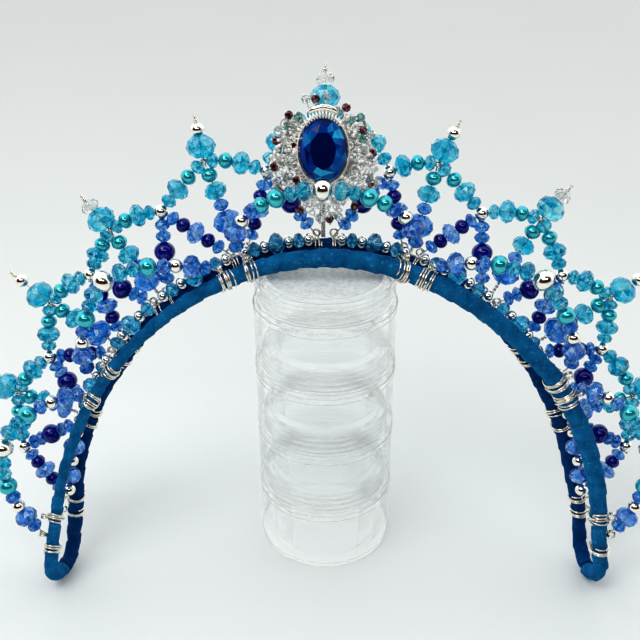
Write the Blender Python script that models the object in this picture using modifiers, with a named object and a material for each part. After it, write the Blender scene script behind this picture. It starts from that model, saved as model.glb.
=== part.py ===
"""A beaded ballet headpiece leaning on a lidded stack of four clear jars.

Two cloth bound bands rise as arches from a shared pair of feet. The rear band carries a fan of bead
strings with nine points, and the front band a row of five small bead arches. A cut oval stone in a
pierced rosette stands over the middle. The headpiece is modelled upright in a frame of its own,
with x to the right, y to the back and z up, and that frame leans back onto the jars.
"""

import math
from dataclasses import dataclass

import bmesh
import bpy
import numpy as np

# All sizes are in millimetres, and become metres where an object is made.
MM = 0.001

# Stack of jars
STAND_Y = 4.441
JAR_COUNT = 4
JAR_PITCH = 20.6
JAR_RADIUS = 20.0
JAR_RING_RADIUS = 20.2
JAR_RING_HEIGHT = 2.6
JAR_WALL = 1.6
JAR_FLOOR = 1.6
NECK_RADIUS = 18.0
NECK_HEIGHT = 6.5
NECK_CLEARANCE = 0.3
JAR_SIDES = 18
LID_RADIUS = 19.2
LID_PLATE = 0.5
LID_RIM_RADIUS = 16.3
LID_RIM_HEIGHT = 0.3

# The lean of the headpiece against the jars
LEAN = math.radians(14.5)
FOOT_Y = STAND_Y - 29.0

# The bands
BAND_TOP_RADIUS = 2.6
BAND_FOOT_RADIUS = 2.1
REAR_BAND_SLIMMER = 0.2
BAND_DEPTH_TOP = 8.0
BAND_DEPTH_FOOT = 13.0
BAND_RINGS = 24
BAND_TURN_MARKS = (0.0, 0.25, 3.7, 7.2, 10.7)
BAND_STRAIGHT_FROM = 14.0
ARCH_X_POWER = 1.9
ARCH_Z_POWER = 2.3
FACE_GAP = 0.3
BAND_END_GAP = 0.44
BAND_SIDES = 10
ARCH_LAST_DEGREES = 89.0
ARCH_SAMPLES = 90
TURN_SAMPLES = 46
BAND_SAMPLES = 600

# Wires that the beads are strung on
WIRE_RADIUS = 0.55
TWIST_RADIUS = 0.75
STRING_SEAT = FACE_GAP + TWIST_RADIUS / 2
FAN_TUBE_RADIUS = 1.5
EDGE_TUBE_RADIUS = 1.7
CHAIN_TUBE_RADIUS = 1.6
BEAD_SIDES = 10
TUBE_SIDES = 8
RING_MARGIN = 0.2
CORNER_CUT = 1.5
CORNER_SAVING = 0.4
JOINT_CLEAR = 1.3
TOP_JOINT_CLEAR = 2.0
EDGE_START_GAP = 0.45
EDGE_SLOPE = 0.9
CENTRE_START = 1.5
CENTRE_LEAD = 2.1
CENTRE_TWIST = 5.0
FAN_TURN_CUT = 2.0
FAN_TURN_SAVING = 0.6
FAN_LEAD = 4.8
FAN_TURN_NECK = 1.4
FAN_TURN_SHOULDER = 2.8
POINT_WIRE = 3.2
LEG_TWIST = 0.6

# Rings of a bead as (place along its length, share of its radius), without its two holes
SMALL_CUT = ((0.5, 1.0),)
LARGE_CUT = ((0.27, 1.0), (0.73, 1.0))
ROUND = ((0.22, 0.82), (0.5, 1.0), (0.78, 0.82))
SMALL_ROUND = ((0.3, 1.0), (0.7, 1.0))


@dataclass(frozen=True)
class Arch:
    """One band's outline: a flattened ellipse standing on the floor."""

    half_width: float
    height: float

    def point(self, angle: float) -> tuple[float, float]:
        """x and z at an angle from the top, positive to the right."""
        across = abs(math.sin(angle)) ** (2.0 / ARCH_X_POWER)
        up = abs(math.cos(angle)) ** (2.0 / ARCH_Z_POWER)
        return math.copysign(self.half_width * across, angle), self.height * up

    def outward(self, angle: float) -> tuple[float, float]:
        """Unit normal away from the head, square to the outline."""
        step = 0.004
        x0, z0 = self.point(angle - step)
        x1, z1 = self.point(angle + step)
        length = math.hypot(x1 - x0, z1 - z0)
        return -(z1 - z0) / length, (x1 - x0) / length


@dataclass(frozen=True)
class Bead:
    """A bead by its length on the wire, its radius and its rings."""

    length: float
    radius: float
    rings: tuple


@dataclass(frozen=True)
class Point:
    """One of the fan's points: where its strings join, its tip bead, and where its own wire starts."""

    joint: tuple[float, float]
    tip: tuple[float, float]
    start: float


@dataclass(frozen=True)
class Leg:
    """One side of a small front arch, from its ball down to the front band."""

    foot_degrees: float
    ball_handle: float
    rise: float
    sway: float
    beads: tuple


FRONT = Arch(half_width=80.0, height=99.2)
REAR = Arch(half_width=76.5, height=101.0)

BEADS = {
    "teal_4": Bead(3.0, 2.0, SMALL_CUT),
    "teal_6": Bead(4.4, 3.0, LARGE_CUT),
    "teal_8": Bead(6.0, 4.0, LARGE_CUT),
    "blue_4": Bead(3.0, 2.0, SMALL_CUT),
    "light_6": Bead(4.4, 3.0, LARGE_CUT),
    "blue_8": Bead(6.0, 4.0, LARGE_CUT),
    "pearl_4": Bead(3.9, 1.95, SMALL_ROUND),
    "pearl_5": Bead(4.8, 2.4, SMALL_ROUND),
    "silver_4": Bead(3.7, 1.85, SMALL_ROUND),
    "silver_6": Bead(6.0, 3.0, ROUND),
    "clear_5": Bead(3.5, 2.4, SMALL_CUT),
}

# The right half of the fan, from the middle outwards. The left half mirrors it.
POINTS = (
    Point(joint=(0.0, 137.1), tip=(0.0, 146.6), start=-0.2),
    Point(joint=(32.4, 124.0), tip=(34.6, 132.6), start=0.25),
    Point(joint=(59.0, 107.2), tip=(65.0, 114.3), start=0.35),
    Point(joint=(78.7, 85.3), tip=(86.4, 91.2), start=0.25),
    Point(joint=(89.3, 56.7), tip=(97.0, 61.5), start=0.8),
)
VALLEYS = ((18.4, 121.8), (44.0, 110.6), (66.0, 93.2), (79.2, 70.2), (89.2, 40.5))
BASE_DEGREES = (0.0, 18.3, 36.2, 48.6, 63.5, 80.0)
BASE_SPREAD = 2.4

CENTRE_BEADS = ("pearl_4", "teal_6", "blue_4", "blue_8")
OUTER_CENTRE_BEADS = ("pearl_4", "teal_6", "blue_4", "light_6")
POINT_BEADS = ("teal_8", "clear_5")
LEG_BEADS = ("teal_4", "teal_4", "pearl_5", "blue_4", "silver_4", "light_6", "blue_4")
MIDDLE_LEG_BEADS = LEG_BEADS[:3] + ("pearl_4",) + LEG_BEADS[3:]

# The small arches of the front row: the ball's x and z, and the legs on either side of it
FRONT_BALLS = ((0.0, 117.8), (59.6, 93.2), (89.3, 45.4))
FRONT_LEGS = (
    (Leg(-15.9, 15.0, 9.5, 6.0, MIDDLE_LEG_BEADS), Leg(15.9, 15.0, 9.5, 6.0, MIDDLE_LEG_BEADS)),
    (Leg(21.0, 8.0, 7.0, -6.0, LEG_BEADS), Leg(52.1, 6.0, 8.0, 0.0, LEG_BEADS)),
    (Leg(55.7, 9.0, 10.0, -6.0, LEG_BEADS), Leg(81.9, 8.0, 8.0, -5.0, LEG_BEADS)),
)
BALL_FORWARD = 6.0
HANDLE_FORWARD = 2.0

# The chain of small spacers in the groove between the bands
CHAIN_FROM_DEGREES = 1.5
CHAIN_TO_DEGREES = 78.0
CHAIN_DEPTH_SHARE = 0.56
CHAIN_RISE_TOP = 3.5
CHAIN_RISE_END = -0.6
CHAIN_SINKS_FROM_DEGREES = 42.0
CHAIN_RINGS = 13

# The ornament over the middle
GEM_Z = 127.4
GEM_WIDTH = 12.4
GEM_HEIGHT = 16.6
GEM_SIDES = 16
CROWN_HEIGHT = 2.2
TABLE_SHARE = 0.6
PAVILION_HEIGHT = 1.6
PAVILION_SHARE = 0.7
SETTING_WALL = 0.7
SETTING_CLEARANCE = 0.38
SETTING_STRETCH = (GEM_HEIGHT + 2 * SETTING_CLEARANCE) / (GEM_WIDTH + 2 * SETTING_CLEARANCE)
SETTING_BACK_Y = 3.3
SETTING_DEPTH = 3.2
SETTING_FLOOR = 0.8
SETTING_SIDES = 20
ROSETTE_FRONT_Y = 3.6
ROSETTE_THICKNESS = 1.0
ROSETTE_CORE = 9.0
ROSETTE_OUTLINE_POINTS = 54
PETAL_LENGTH = 15.6
PETAL_HALF_ANGLE = 20.0
PETAL_FULLNESS = 0.6
PETAL_DEGREES = (35.0, -5.0, -45.0, -90.0, -135.0, 185.0, 145.0)
HOLE_SIDES = 6

# Holes of a petal: degrees off its middle, distance from the rosette's middle, radius
PETAL_HOLES = ((0.0, 13.6, 0.8), (8.5, 11.2, 1.2), (-8.5, 11.2, 1.2))

# The bar over the stone
BAR_RADIUS = 0.8
BAR_HALF_DEGREES = 42.0
BAR_CLEARANCE = 1.4
BAR_RINGS = 7
BAR_TAPER_FROM = 0.25

# The stem under the ornament
STEM_TOP_BELOW_GEM = 6.0
STEM_KNEE_RISE = 7.0


def clear_scene() -> None:
    """Remove every object that the file starts with."""
    for old in list(bpy.data.objects):
        bpy.data.objects.remove(old, do_unlink=True)


def make_material(name, colour, roughness, metallic=0.0, transmission=0.0):
    """A Principled material with one plain colour."""
    material = bpy.data.materials.new(name)
    material.use_nodes = True
    shader = material.node_tree.nodes["Principled BSDF"]
    shader.inputs["Base Color"].default_value = (*colour, 1.0)
    shader.inputs["Roughness"].default_value = roughness
    shader.inputs["Metallic"].default_value = metallic
    shader.inputs["Transmission Weight"].default_value = transmission
    material.diffuse_color = (*colour, 1.0)
    return material


def make_materials():
    """The headpiece's finishes by name."""
    return {
        "cloth": make_material("band_cloth", (0.006, 0.11, 0.33), 0.75),
        "teal": make_material("teal_crystal", (0.01, 0.42, 0.66), 0.08, transmission=0.6),
        "blue": make_material("blue_crystal", (0.03, 0.16, 0.72), 0.08, transmission=0.6),
        "sapphire": make_material("sapphire_stone", (0.0, 0.02, 0.22), 0.05, transmission=0.3),
        "silver": make_material("silver_wire", (0.78, 0.76, 0.72), 0.18, metallic=1.0),
        "clear": make_material("clear_plastic", (0.9, 0.93, 0.93), 0.05, transmission=0.9),
    }


def add_object(name, data, collection, material, parent=None):
    """Link a mesh or curve as one named sub-part."""
    data.materials.append(material)
    obj = bpy.data.objects.new(name, data)
    collection.objects.link(obj)
    obj.parent = parent
    return obj


def fan_depth(z: float) -> float:
    """How far behind the front band the fan and the rear band lie at a height."""
    share = min(max(1.0 - z / REAR.height, 0.0), 1.0)
    return BAND_DEPTH_TOP + (BAND_DEPTH_FOOT - BAND_DEPTH_TOP) * share


def fan_point(place) -> np.ndarray:
    """A point of the fan from its x and z."""
    return np.array([place[0], fan_depth(place[1]), place[1]])


def mirrored(place, side: int):
    """An x and z place on the right or, for side -1, on the left."""
    return side * place[0], place[1]


def unit(vector: np.ndarray) -> np.ndarray:
    """The vector at length 1."""
    return vector / np.linalg.norm(vector)


def lengths_along(path: np.ndarray) -> np.ndarray:
    """The distance of each point of a path from its start."""
    steps = np.linalg.norm(np.diff(path, axis=0), axis=1)
    return np.concatenate([[0.0], np.cumsum(steps)])


def at_distances(path: np.ndarray, distances) -> np.ndarray:
    """The points that lie these distances along a path."""
    along = lengths_along(path)
    return np.column_stack([np.interp(distances, along, path[:, axis]) for axis in range(3)])


def bezier(start, first, second, end, count=24) -> np.ndarray:
    """Points of a cubic curve with two handles."""
    t = np.linspace(0.0, 1.0, count)[:, None]
    s = 1.0 - t
    return s**3 * start + 3 * s * s * t * first + 3 * s * t * t * second + t**3 * end


def around_corner(start, corner, end, cut=CORNER_CUT) -> np.ndarray:
    """Two straight runs that meet in a small bend."""
    before = corner + cut * unit(start - corner)
    after = corner + cut * unit(end - corner)
    bend = bezier(before, corner, corner, after, count=7)
    return np.vstack([start, bend, end])


def tube(name, path, radii, sides, collection, material, parent):
    """A round body along a path, with its own radius at each point and closed ends."""
    data = bpy.data.curves.new(name, "CURVE")
    data.dimensions = "3D"
    data.bevel_depth = MM
    data.bevel_resolution = (sides - 4) // 2
    data.use_fill_caps = True
    spline = data.splines.new("POLY")
    spline.points.add(len(path) - 1)
    for control, place, radius in zip(spline.points, path, radii):
        control.co = (*(place * MM), 1.0)
        control.radius = radius
    return add_object(name, data, collection, material, parent)


def bead_rings(names, start, room):
    """(distance, radius) of each ring of some beads, pressed together where the room is short."""
    total = sum(BEADS[name].length for name in names)
    squeeze = min(1.0, room / total)
    rings = [(start, WIRE_RADIUS)]
    for name in names:
        bead = BEADS[name]
        length = bead.length * squeeze
        rings += [(start + share * length, size * bead.radius) for share, size in bead.rings]
        start += length
        rings.append((start, WIRE_RADIUS))
    return rings


def string_of_beads(name, path, rings, collection, material, parent):
    """A fused string: its wire from end to end, swelling at each bead."""
    length = lengths_along(path)[-1]
    ends = [(0.0, WIRE_RADIUS), (length, WIRE_RADIUS)]
    kept = [ring for ring in rings if RING_MARGIN < ring[0] < length - RING_MARGIN]
    table = sorted(kept + ends)
    places = at_distances(path, [ring[0] for ring in table])
    radii = [ring[1] for ring in table]
    return tube(name, places, radii, BEAD_SIDES, collection, material, parent)


def turned(name, profile, sides, collection, material, parent=None):
    """A solid of revolution about z from (radius, height) pairs that run down its outer side."""
    data = bpy.data.meshes.new(name)
    shape = bmesh.new()
    row = [shape.verts.new((radius * MM, 0.0, height * MM)) for radius, height in profile]
    for upper, lower in zip(row, row[1:]):
        shape.edges.new((upper, lower))
    shape.to_mesh(data)
    shape.free()
    obj = add_object(name, data, collection, material, parent)
    screw = obj.modifiers.new("Turn", "SCREW")
    screw.steps = sides
    screw.render_steps = sides
    screw.use_merge_vertices = True
    screw.merge_threshold = 0.00001
    return obj


def add_jars(collection, material) -> None:
    """Four open jars, each screwed onto the neck of the one below."""
    shoulder = JAR_PITCH
    ring_bottom = shoulder - JAR_RING_HEIGHT
    neck_top = shoulder + NECK_HEIGHT
    bore = NECK_RADIUS - JAR_WALL
    recess = NECK_RADIUS + NECK_CLEARANCE
    recess_top = NECK_HEIGHT + NECK_CLEARANCE
    for number in range(JAR_COUNT):
        floor = recess_top + JAR_FLOOR if number else JAR_FLOOR
        lowest = FACE_GAP if number else 0.0
        profile = [
            (0.0, floor),
            (bore, floor),
            (bore, neck_top),
            (NECK_RADIUS, neck_top),
            (NECK_RADIUS, shoulder),
            (JAR_RING_RADIUS, shoulder),
            (JAR_RING_RADIUS, ring_bottom),
            (JAR_RADIUS, ring_bottom),
            (JAR_RADIUS, lowest),
        ]
        if number:
            profile += [(recess, lowest), (recess, recess_top), (0.0, recess_top)]
        else:
            profile += [(0.0, lowest)]
        jar = turned(f"jar_{number + 1}", profile, JAR_SIDES, collection, material)
        jar.location = (0.0, STAND_Y * MM, number * JAR_PITCH * MM)


def add_lid(collection, material) -> None:
    """The lid on the uppermost jar, with a raised rim round its plate."""
    skirt = NECK_RADIUS + NECK_CLEARANCE
    underside = NECK_HEIGHT + NECK_CLEARANCE
    plate_top = underside + LID_PLATE
    profile = [
        (0.0, plate_top),
        (LID_RIM_RADIUS, plate_top),
        (LID_RIM_RADIUS, plate_top + LID_RIM_HEIGHT),
        (LID_RADIUS, plate_top + LID_RIM_HEIGHT),
        (LID_RADIUS, FACE_GAP),
        (skirt, FACE_GAP),
        (skirt, underside),
        (0.0, underside),
    ]
    lid = turned("jar_lid", profile, JAR_SIDES, collection, material)
    lid.location = (0.0, STAND_Y * MM, JAR_COUNT * JAR_PITCH * MM)


def band_half(arch: Arch, depth_top: float, depth_foot: float) -> np.ndarray:
    """The right half of a band's centreline, from the middle of the top down to its leg's end."""
    points = []
    for angle in np.radians(np.linspace(0.0, ARCH_LAST_DEGREES, ARCH_SAMPLES)):
        x, z = arch.point(angle)
        share = 1.0 - z / arch.height
        points.append((x, depth_top + (depth_foot - depth_top) * share, z))
    return np.array(points)


def band_paths():
    """Centrelines of both bands, which share a round turn at each foot."""
    front = band_half(FRONT, 0.0, 0.0)
    rear = band_half(REAR, BAND_DEPTH_TOP, BAND_DEPTH_FOOT)
    turn_width = math.hypot(FRONT.half_width - REAR.half_width, BAND_DEPTH_FOOT / math.cos(LEAN))
    turn_radius = turn_width / 2
    leg_end = (turn_radius + BAND_FOOT_RADIUS) / math.cos(LEAN)
    rear_leg_end = leg_end + BAND_DEPTH_FOOT * math.tan(LEAN)
    front = front[front[:, 2] > leg_end]
    rear = rear[rear[:, 2] > rear_leg_end]
    front_end = np.array([FRONT.half_width, 0.0, leg_end])
    rear_end = np.array([REAR.half_width, BAND_DEPTH_FOOT, rear_leg_end])
    middle = (front_end + rear_end) / 2
    down = np.array([0.0, math.sin(LEAN), -math.cos(LEAN)])
    halves = []
    for half, end in ((front, front_end), (rear, rear_end)):
        quarter = np.radians(np.linspace(0.0, 90.0, TURN_SAMPLES))[:, None]
        turn = middle + np.cos(quarter) * (end - middle) + np.sin(quarter) * turn_radius * down
        path = np.vstack([half, turn])
        stop = lengths_along(path)[-1] - BAND_END_GAP / 2
        halves.append(at_distances(path, np.linspace(0.0, stop, BAND_SAMPLES)))
    return [whole_from_half(half) for half in halves]


def whole_from_half(half: np.ndarray) -> np.ndarray:
    """A path through the middle, from its right half."""
    left = half[::-1] * np.array([-1.0, 1.0, 1.0])
    return np.vstack([left[:-1], half])


def band_radius(z: float) -> float:
    """The bound band is a little thicker towards its top."""
    share = min(max(z / FRONT.height, 0.0), 1.0)
    return BAND_FOOT_RADIUS + (BAND_TOP_RADIUS - BAND_FOOT_RADIUS) * share


def rear_band_radius(z: float) -> float:
    """The rear band is bound a little tighter."""
    return band_radius(z) - REAR_BAND_SLIMMER * z / FRONT.height


def band_marks(length: float) -> np.ndarray:
    """Distances of a band's rings, closer together round the turn at each foot."""
    turn = np.array(BAND_TURN_MARKS)
    middle = np.linspace(BAND_STRAIGHT_FROM, length - BAND_STRAIGHT_FROM, BAND_RINGS)
    return np.concatenate([turn, middle, (length - turn)[::-1]])


def add_bands(collection, material, parent) -> None:
    """The front and rear bands."""
    for name, path, radius_at in zip(
        ("front_band", "rear_band"), band_paths(), (band_radius, rear_band_radius)
    ):
        rings = at_distances(path, band_marks(lengths_along(path)[-1]))
        radii = [radius_at(place[2]) for place in rings]
        tube(name, rings, radii, BAND_SIDES, collection, material, parent)


def base_point(degrees: float, shift: float, gap: float = STRING_SEAT) -> np.ndarray:
    """Where a string meets the rear band's outer side, shifted along the band."""
    angle = math.radians(degrees)
    x, z = REAR.point(angle)
    out_x, out_z = REAR.outward(angle)
    stand_off = rear_band_radius(z) + gap
    x += out_x * stand_off + out_z * shift
    z += out_z * stand_off - out_x * shift
    return fan_point((x, z))


def side_name(name: str, side: int) -> str:
    """A sub-part's name with its side."""
    return f"{name}_{'right' if side > 0 else 'left'}"


def add_points(collection, material, parent) -> None:
    """A large bead and a tip bead standing on each joint of the fan."""
    for number, point in enumerate(POINTS):
        for side in (1, -1) if number else (1,):
            joint = fan_point(mirrored(point.joint, side))
            tip = fan_point(mirrored(point.tip, side))
            away = unit(tip - joint)
            path = np.array([joint + point.start * away, tip + POINT_WIRE * away])
            rings = bead_rings(POINT_BEADS, 0.0, lengths_along(path)[-1])
            name = side_name(f"point_{number}", side) if number else "point_0"
            string_of_beads(name, path, rings, collection, material, parent)


def valley_rings(middle: float) -> list:
    """Rings of a valley bead round its middle."""
    reach = BEADS["silver_4"].radius
    rings = [(middle + (share - 0.5) * 2 * reach, size * reach) for share, size in SMALL_ROUND]
    return [(middle - reach, WIRE_RADIUS), *rings]


def edge_run(start: float, end: float) -> list:
    """Rings of the plain outer form of some beads between two places on an edge string."""
    return [
        (start, WIRE_RADIUS),
        (start + EDGE_SLOPE, EDGE_TUBE_RADIUS),
        (end - EDGE_SLOPE, EDGE_TUBE_RADIUS),
        (end, WIRE_RADIUS),
    ]


def add_edge_strings(collection, material, parent) -> None:
    """The zigzag edge, one string from valley to valley over each point."""
    reach = BEADS["silver_4"].radius
    for number, point in enumerate(POINTS[1:], start=1):
        for side in (1, -1):
            joint = fan_point(mirrored(point.joint, side))
            inner = fan_point(mirrored(VALLEYS[number - 1], side))
            outer = fan_point(mirrored(VALLEYS[number], side))
            start = inner + (reach + EDGE_START_GAP) * unit(joint - inner)
            end = outer + reach * unit(outer - joint)
            path = around_corner(start, joint, end)
            bend = np.linalg.norm(start - joint) - CORNER_SAVING
            length = lengths_along(path)[-1]
            rings = edge_run(FACE_GAP, bend - JOINT_CLEAR)
            rings += edge_run(bend + JOINT_CLEAR, length - 2 * reach - FACE_GAP)
            rings += valley_rings(length - reach)
            name = side_name(f"edge_string_{number}", side)
            string_of_beads(name, path, rings, collection, material, parent)


def add_top_edge_string(collection, material, parent) -> None:
    """The zigzag's middle string, which ends in a valley bead on both sides."""
    reach = BEADS["silver_4"].radius
    joint = fan_point(POINTS[0].joint)
    right = fan_point(VALLEYS[0])
    left = fan_point(mirrored(VALLEYS[0], -1))
    path = around_corner(
        left + reach * unit(left - joint), joint, right + reach * unit(right - joint)
    )
    length = lengths_along(path)[-1]
    half = edge_run(length / 2 + TOP_JOINT_CLEAR, length - 2 * reach - FACE_GAP)
    half += valley_rings(length - reach)
    rings = half + [(length - distance, radius) for distance, radius in half]
    string_of_beads("edge_string_0", path, rings, collection, material, parent)


def add_centre_strings(collection, material, parent) -> None:
    """A string from each joint of the fan straight down to the rear band."""
    for number, point in enumerate(POINTS[1:], start=1):
        for side in (1, -1):
            joint = fan_point(mirrored(point.joint, side))
            base = base_point(side * BASE_DEGREES[number], 0.0)
            start = joint + CENTRE_START * unit(base - joint)
            path = np.array([start, base])
            beads = OUTER_CENTRE_BEADS if number == len(POINTS) - 1 else CENTRE_BEADS
            room = lengths_along(path)[-1] - CENTRE_LEAD - CENTRE_TWIST
            rings = bead_rings(beads, CENTRE_LEAD, room)
            name = side_name(f"centre_string_{number}", side)
            string_of_beads(name, path, rings, collection, material, parent)


def fan_rings(turn: float, length: float) -> list:
    """Rings of both legs of a fan string, thin at its bases and at its turn."""
    return [
        (0.0, TWIST_RADIUS),
        (FAN_LEAD, FAN_TUBE_RADIUS),
        (turn - FAN_TURN_SHOULDER, FAN_TUBE_RADIUS),
        (turn - FAN_TURN_NECK, TWIST_RADIUS),
        (turn, TWIST_RADIUS),
        (turn + FAN_TURN_NECK, TWIST_RADIUS),
        (turn + FAN_TURN_SHOULDER, FAN_TUBE_RADIUS),
        (length - FAN_LEAD, FAN_TUBE_RADIUS),
        (length, TWIST_RADIUS),
    ]


def add_fan_strings(collection, material, parent) -> None:
    """From each valley bead, a string that runs down to the bases on both sides of it."""
    for number, valley in enumerate(VALLEYS):
        for side in (1, -1):
            top = fan_point(mirrored(valley, side))
            inner = base_point(side * BASE_DEGREES[number], side * BASE_SPREAD)
            outer = base_point(side * BASE_DEGREES[number + 1], -side * BASE_SPREAD)
            inward = unit((inner + outer) / 2 - top)
            turn = top + (BEADS["silver_4"].radius + FACE_GAP + TWIST_RADIUS) * inward
            path = around_corner(inner, turn, outer, cut=FAN_TURN_CUT)
            bend = np.linalg.norm(turn - inner) - FAN_TURN_SAVING
            rings = fan_rings(bend, lengths_along(path)[-1])
            places = at_distances(path, [ring[0] for ring in rings])
            radii = [ring[1] for ring in rings]
            name = side_name(f"fan_string_{number + 1}", side)
            tube(name, places, radii, TUBE_SIDES, collection, material, parent)


def leg_path(ball: np.ndarray, leg: Leg, away: np.ndarray, side: int) -> np.ndarray:
    """A leg's curve from the middle of its ball to the front band's outer side."""
    angle = math.radians(leg.foot_degrees) * side
    x, z = FRONT.point(angle)
    out_x, out_z = FRONT.outward(angle)
    out = np.array([out_x, 0.0, out_z])
    stand_off = band_radius(z) + STRING_SEAT
    foot = np.array([x, 0.0, z]) + stand_off * out
    first = ball + leg.ball_handle * away
    second = foot + leg.rise * out + leg.sway * np.array([away[0], 0.0, away[2]])
    second[1] = -HANDLE_FORWARD
    return bezier(ball, first, second, foot, count=40)


def add_front_arches(collection, material, parent) -> None:
    """Five bead arches on the front band, each one string over a silver ball."""
    ball_bead = BEADS["silver_6"]
    for number, (place, legs) in enumerate(zip(FRONT_BALLS, FRONT_LEGS)):
        for side in (1, -1) if number else (1,):
            x, z = mirrored(place, side)
            ball = np.array([x, -BALL_FORWARD, z])
            feet = [FRONT.point(side * math.radians(leg.foot_degrees)) for leg in legs]
            chord = unit(np.array([feet[1][0] - feet[0][0], 0.0, feet[1][1] - feet[0][1]]))
            paths = [leg_path(ball, leg, way * chord, side) for leg, way in zip(legs, (-1, 1))]
            path = np.vstack([paths[0][::-1], paths[1][1:]])
            ball_at = lengths_along(paths[0])[-1]
            length = lengths_along(path)[-1]
            reach = ball_bead.radius
            rings = [
                (ball_at + (share - 0.5) * 2 * reach, size * reach) for share, size in ROUND
            ]
            first_room = ball_at - reach - LEG_TWIST
            second_room = length - ball_at - reach - LEG_TWIST
            total = min(sum(BEADS[bead].length for bead in legs[0].beads), first_room)
            rings += bead_rings(legs[0].beads[::-1], ball_at - reach - total, total)
            rings += bead_rings(legs[1].beads, ball_at + reach, second_room)
            name = side_name(f"front_arch_{number}", side) if number else "front_arch_0"
            string_of_beads(name, path, rings, collection, material, parent)


def add_spacer_chains(collection, material, parent) -> None:
    """The plain outer form of the chain of small beads between the two bands."""
    for side in (1, -1):
        places = []
        for degrees in np.linspace(CHAIN_FROM_DEGREES, CHAIN_TO_DEGREES, CHAIN_RINGS):
            angle = side * math.radians(degrees)
            front = FRONT.point(angle)
            rear = REAR.point(angle)
            out = FRONT.outward(angle)
            sunk = max(0.0, degrees - CHAIN_SINKS_FROM_DEGREES)
            sunk /= CHAIN_TO_DEGREES - CHAIN_SINKS_FROM_DEGREES
            rise = CHAIN_RISE_TOP + (CHAIN_RISE_END - CHAIN_RISE_TOP) * sunk
            x = (front[0] + rear[0]) / 2 + rise * out[0]
            z = (front[1] + rear[1]) / 2 + rise * out[1]
            places.append((x, fan_depth(z) * CHAIN_DEPTH_SHARE, z))
        radii = [CHAIN_TUBE_RADIUS] * CHAIN_RINGS
        name = side_name("spacer_chain", side)
        tube(name, np.array(places), radii, TUBE_SIDES, collection, material, parent)


def add_gem(collection, material, parent) -> None:
    """The oval stone: a cut crown over a shallow cut back."""
    data = bpy.data.meshes.new("gem")
    shape = bmesh.new()
    girdle = GEM_WIDTH / 2 * MM
    crown = bmesh.ops.create_cone(
        shape,
        cap_ends=True,
        segments=GEM_SIDES,
        radius1=girdle,
        radius2=girdle * TABLE_SHARE,
        depth=CROWN_HEIGHT * MM,
    )
    bmesh.ops.translate(shape, verts=crown["verts"], vec=(0.0, 0.0, CROWN_HEIGHT / 2 * MM))
    base = [face for face in shape.faces if face.normal.z < -0.5]
    lowered = bmesh.ops.extrude_face_region(shape, geom=base)
    rim = [item for item in lowered["geom"] if isinstance(item, bmesh.types.BMVert)]
    bmesh.ops.delete(shape, geom=base, context="FACES_ONLY")
    bmesh.ops.translate(shape, verts=rim, vec=(0.0, 0.0, -PAVILION_HEIGHT * MM))
    bmesh.ops.scale(shape, verts=rim, vec=(PAVILION_SHARE, PAVILION_SHARE, 1.0))
    bmesh.ops.recalc_face_normals(shape, faces=shape.faces)
    shape.to_mesh(data)
    shape.free()
    gem = add_object("gem", data, collection, material, parent)
    gem.rotation_euler = (math.radians(90.0), 0.0, 0.0)
    gem.scale = (1.0, GEM_HEIGHT / GEM_WIDTH, 1.0)
    seat = SETTING_BACK_Y - SETTING_FLOOR - FACE_GAP - PAVILION_HEIGHT
    gem.location = (0.0, seat * MM, GEM_Z * MM)


def add_setting(collection, material, parent) -> None:
    """The oval cup that holds the stone."""
    inner = GEM_WIDTH / 2 + SETTING_CLEARANCE
    outer = inner + SETTING_WALL
    profile = [
        (0.0, SETTING_FLOOR),
        (inner, SETTING_FLOOR),
        (inner, SETTING_DEPTH),
        (outer, SETTING_DEPTH),
        (outer, 0.0),
        (0.0, 0.0),
    ]
    setting = turned("gem_setting", profile, SETTING_SIDES, collection, material, parent)
    setting.rotation_euler = (math.radians(90.0), 0.0, 0.0)
    setting.scale = (1.0, SETTING_STRETCH, 1.0)
    setting.location = (0.0, SETTING_BACK_Y * MM, GEM_Z * MM)


def rosette_radius(degrees: float) -> float:
    """The rosette's outline: round petals at its sides and below, and a plain top."""
    nearest = min(abs((degrees - petal + 180.0) % 360.0 - 180.0) for petal in PETAL_DEGREES)
    if nearest >= PETAL_HALF_ANGLE:
        return ROSETTE_CORE
    swell = math.cos(math.radians(90.0 * nearest / PETAL_HALF_ANGLE)) ** PETAL_FULLNESS
    return ROSETTE_CORE + (PETAL_LENGTH - ROSETTE_CORE) * swell


def closed_outline(data, points) -> None:
    """One closed flat outline in a 2D curve, in millimetres."""
    spline = data.splines.new("POLY")
    spline.points.add(len(points) - 1)
    for control, (x, y) in zip(spline.points, points):
        control.co = (x * MM, y * MM, 0.0, 1.0)
    spline.use_cyclic_u = True


def small_circle(x, y, radius, count=HOLE_SIDES):
    """A round hole's outline."""
    turns = [2 * math.pi * step / count for step in range(count)]
    return [(x + radius * math.cos(turn), y + radius * math.sin(turn)) for turn in turns]


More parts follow.
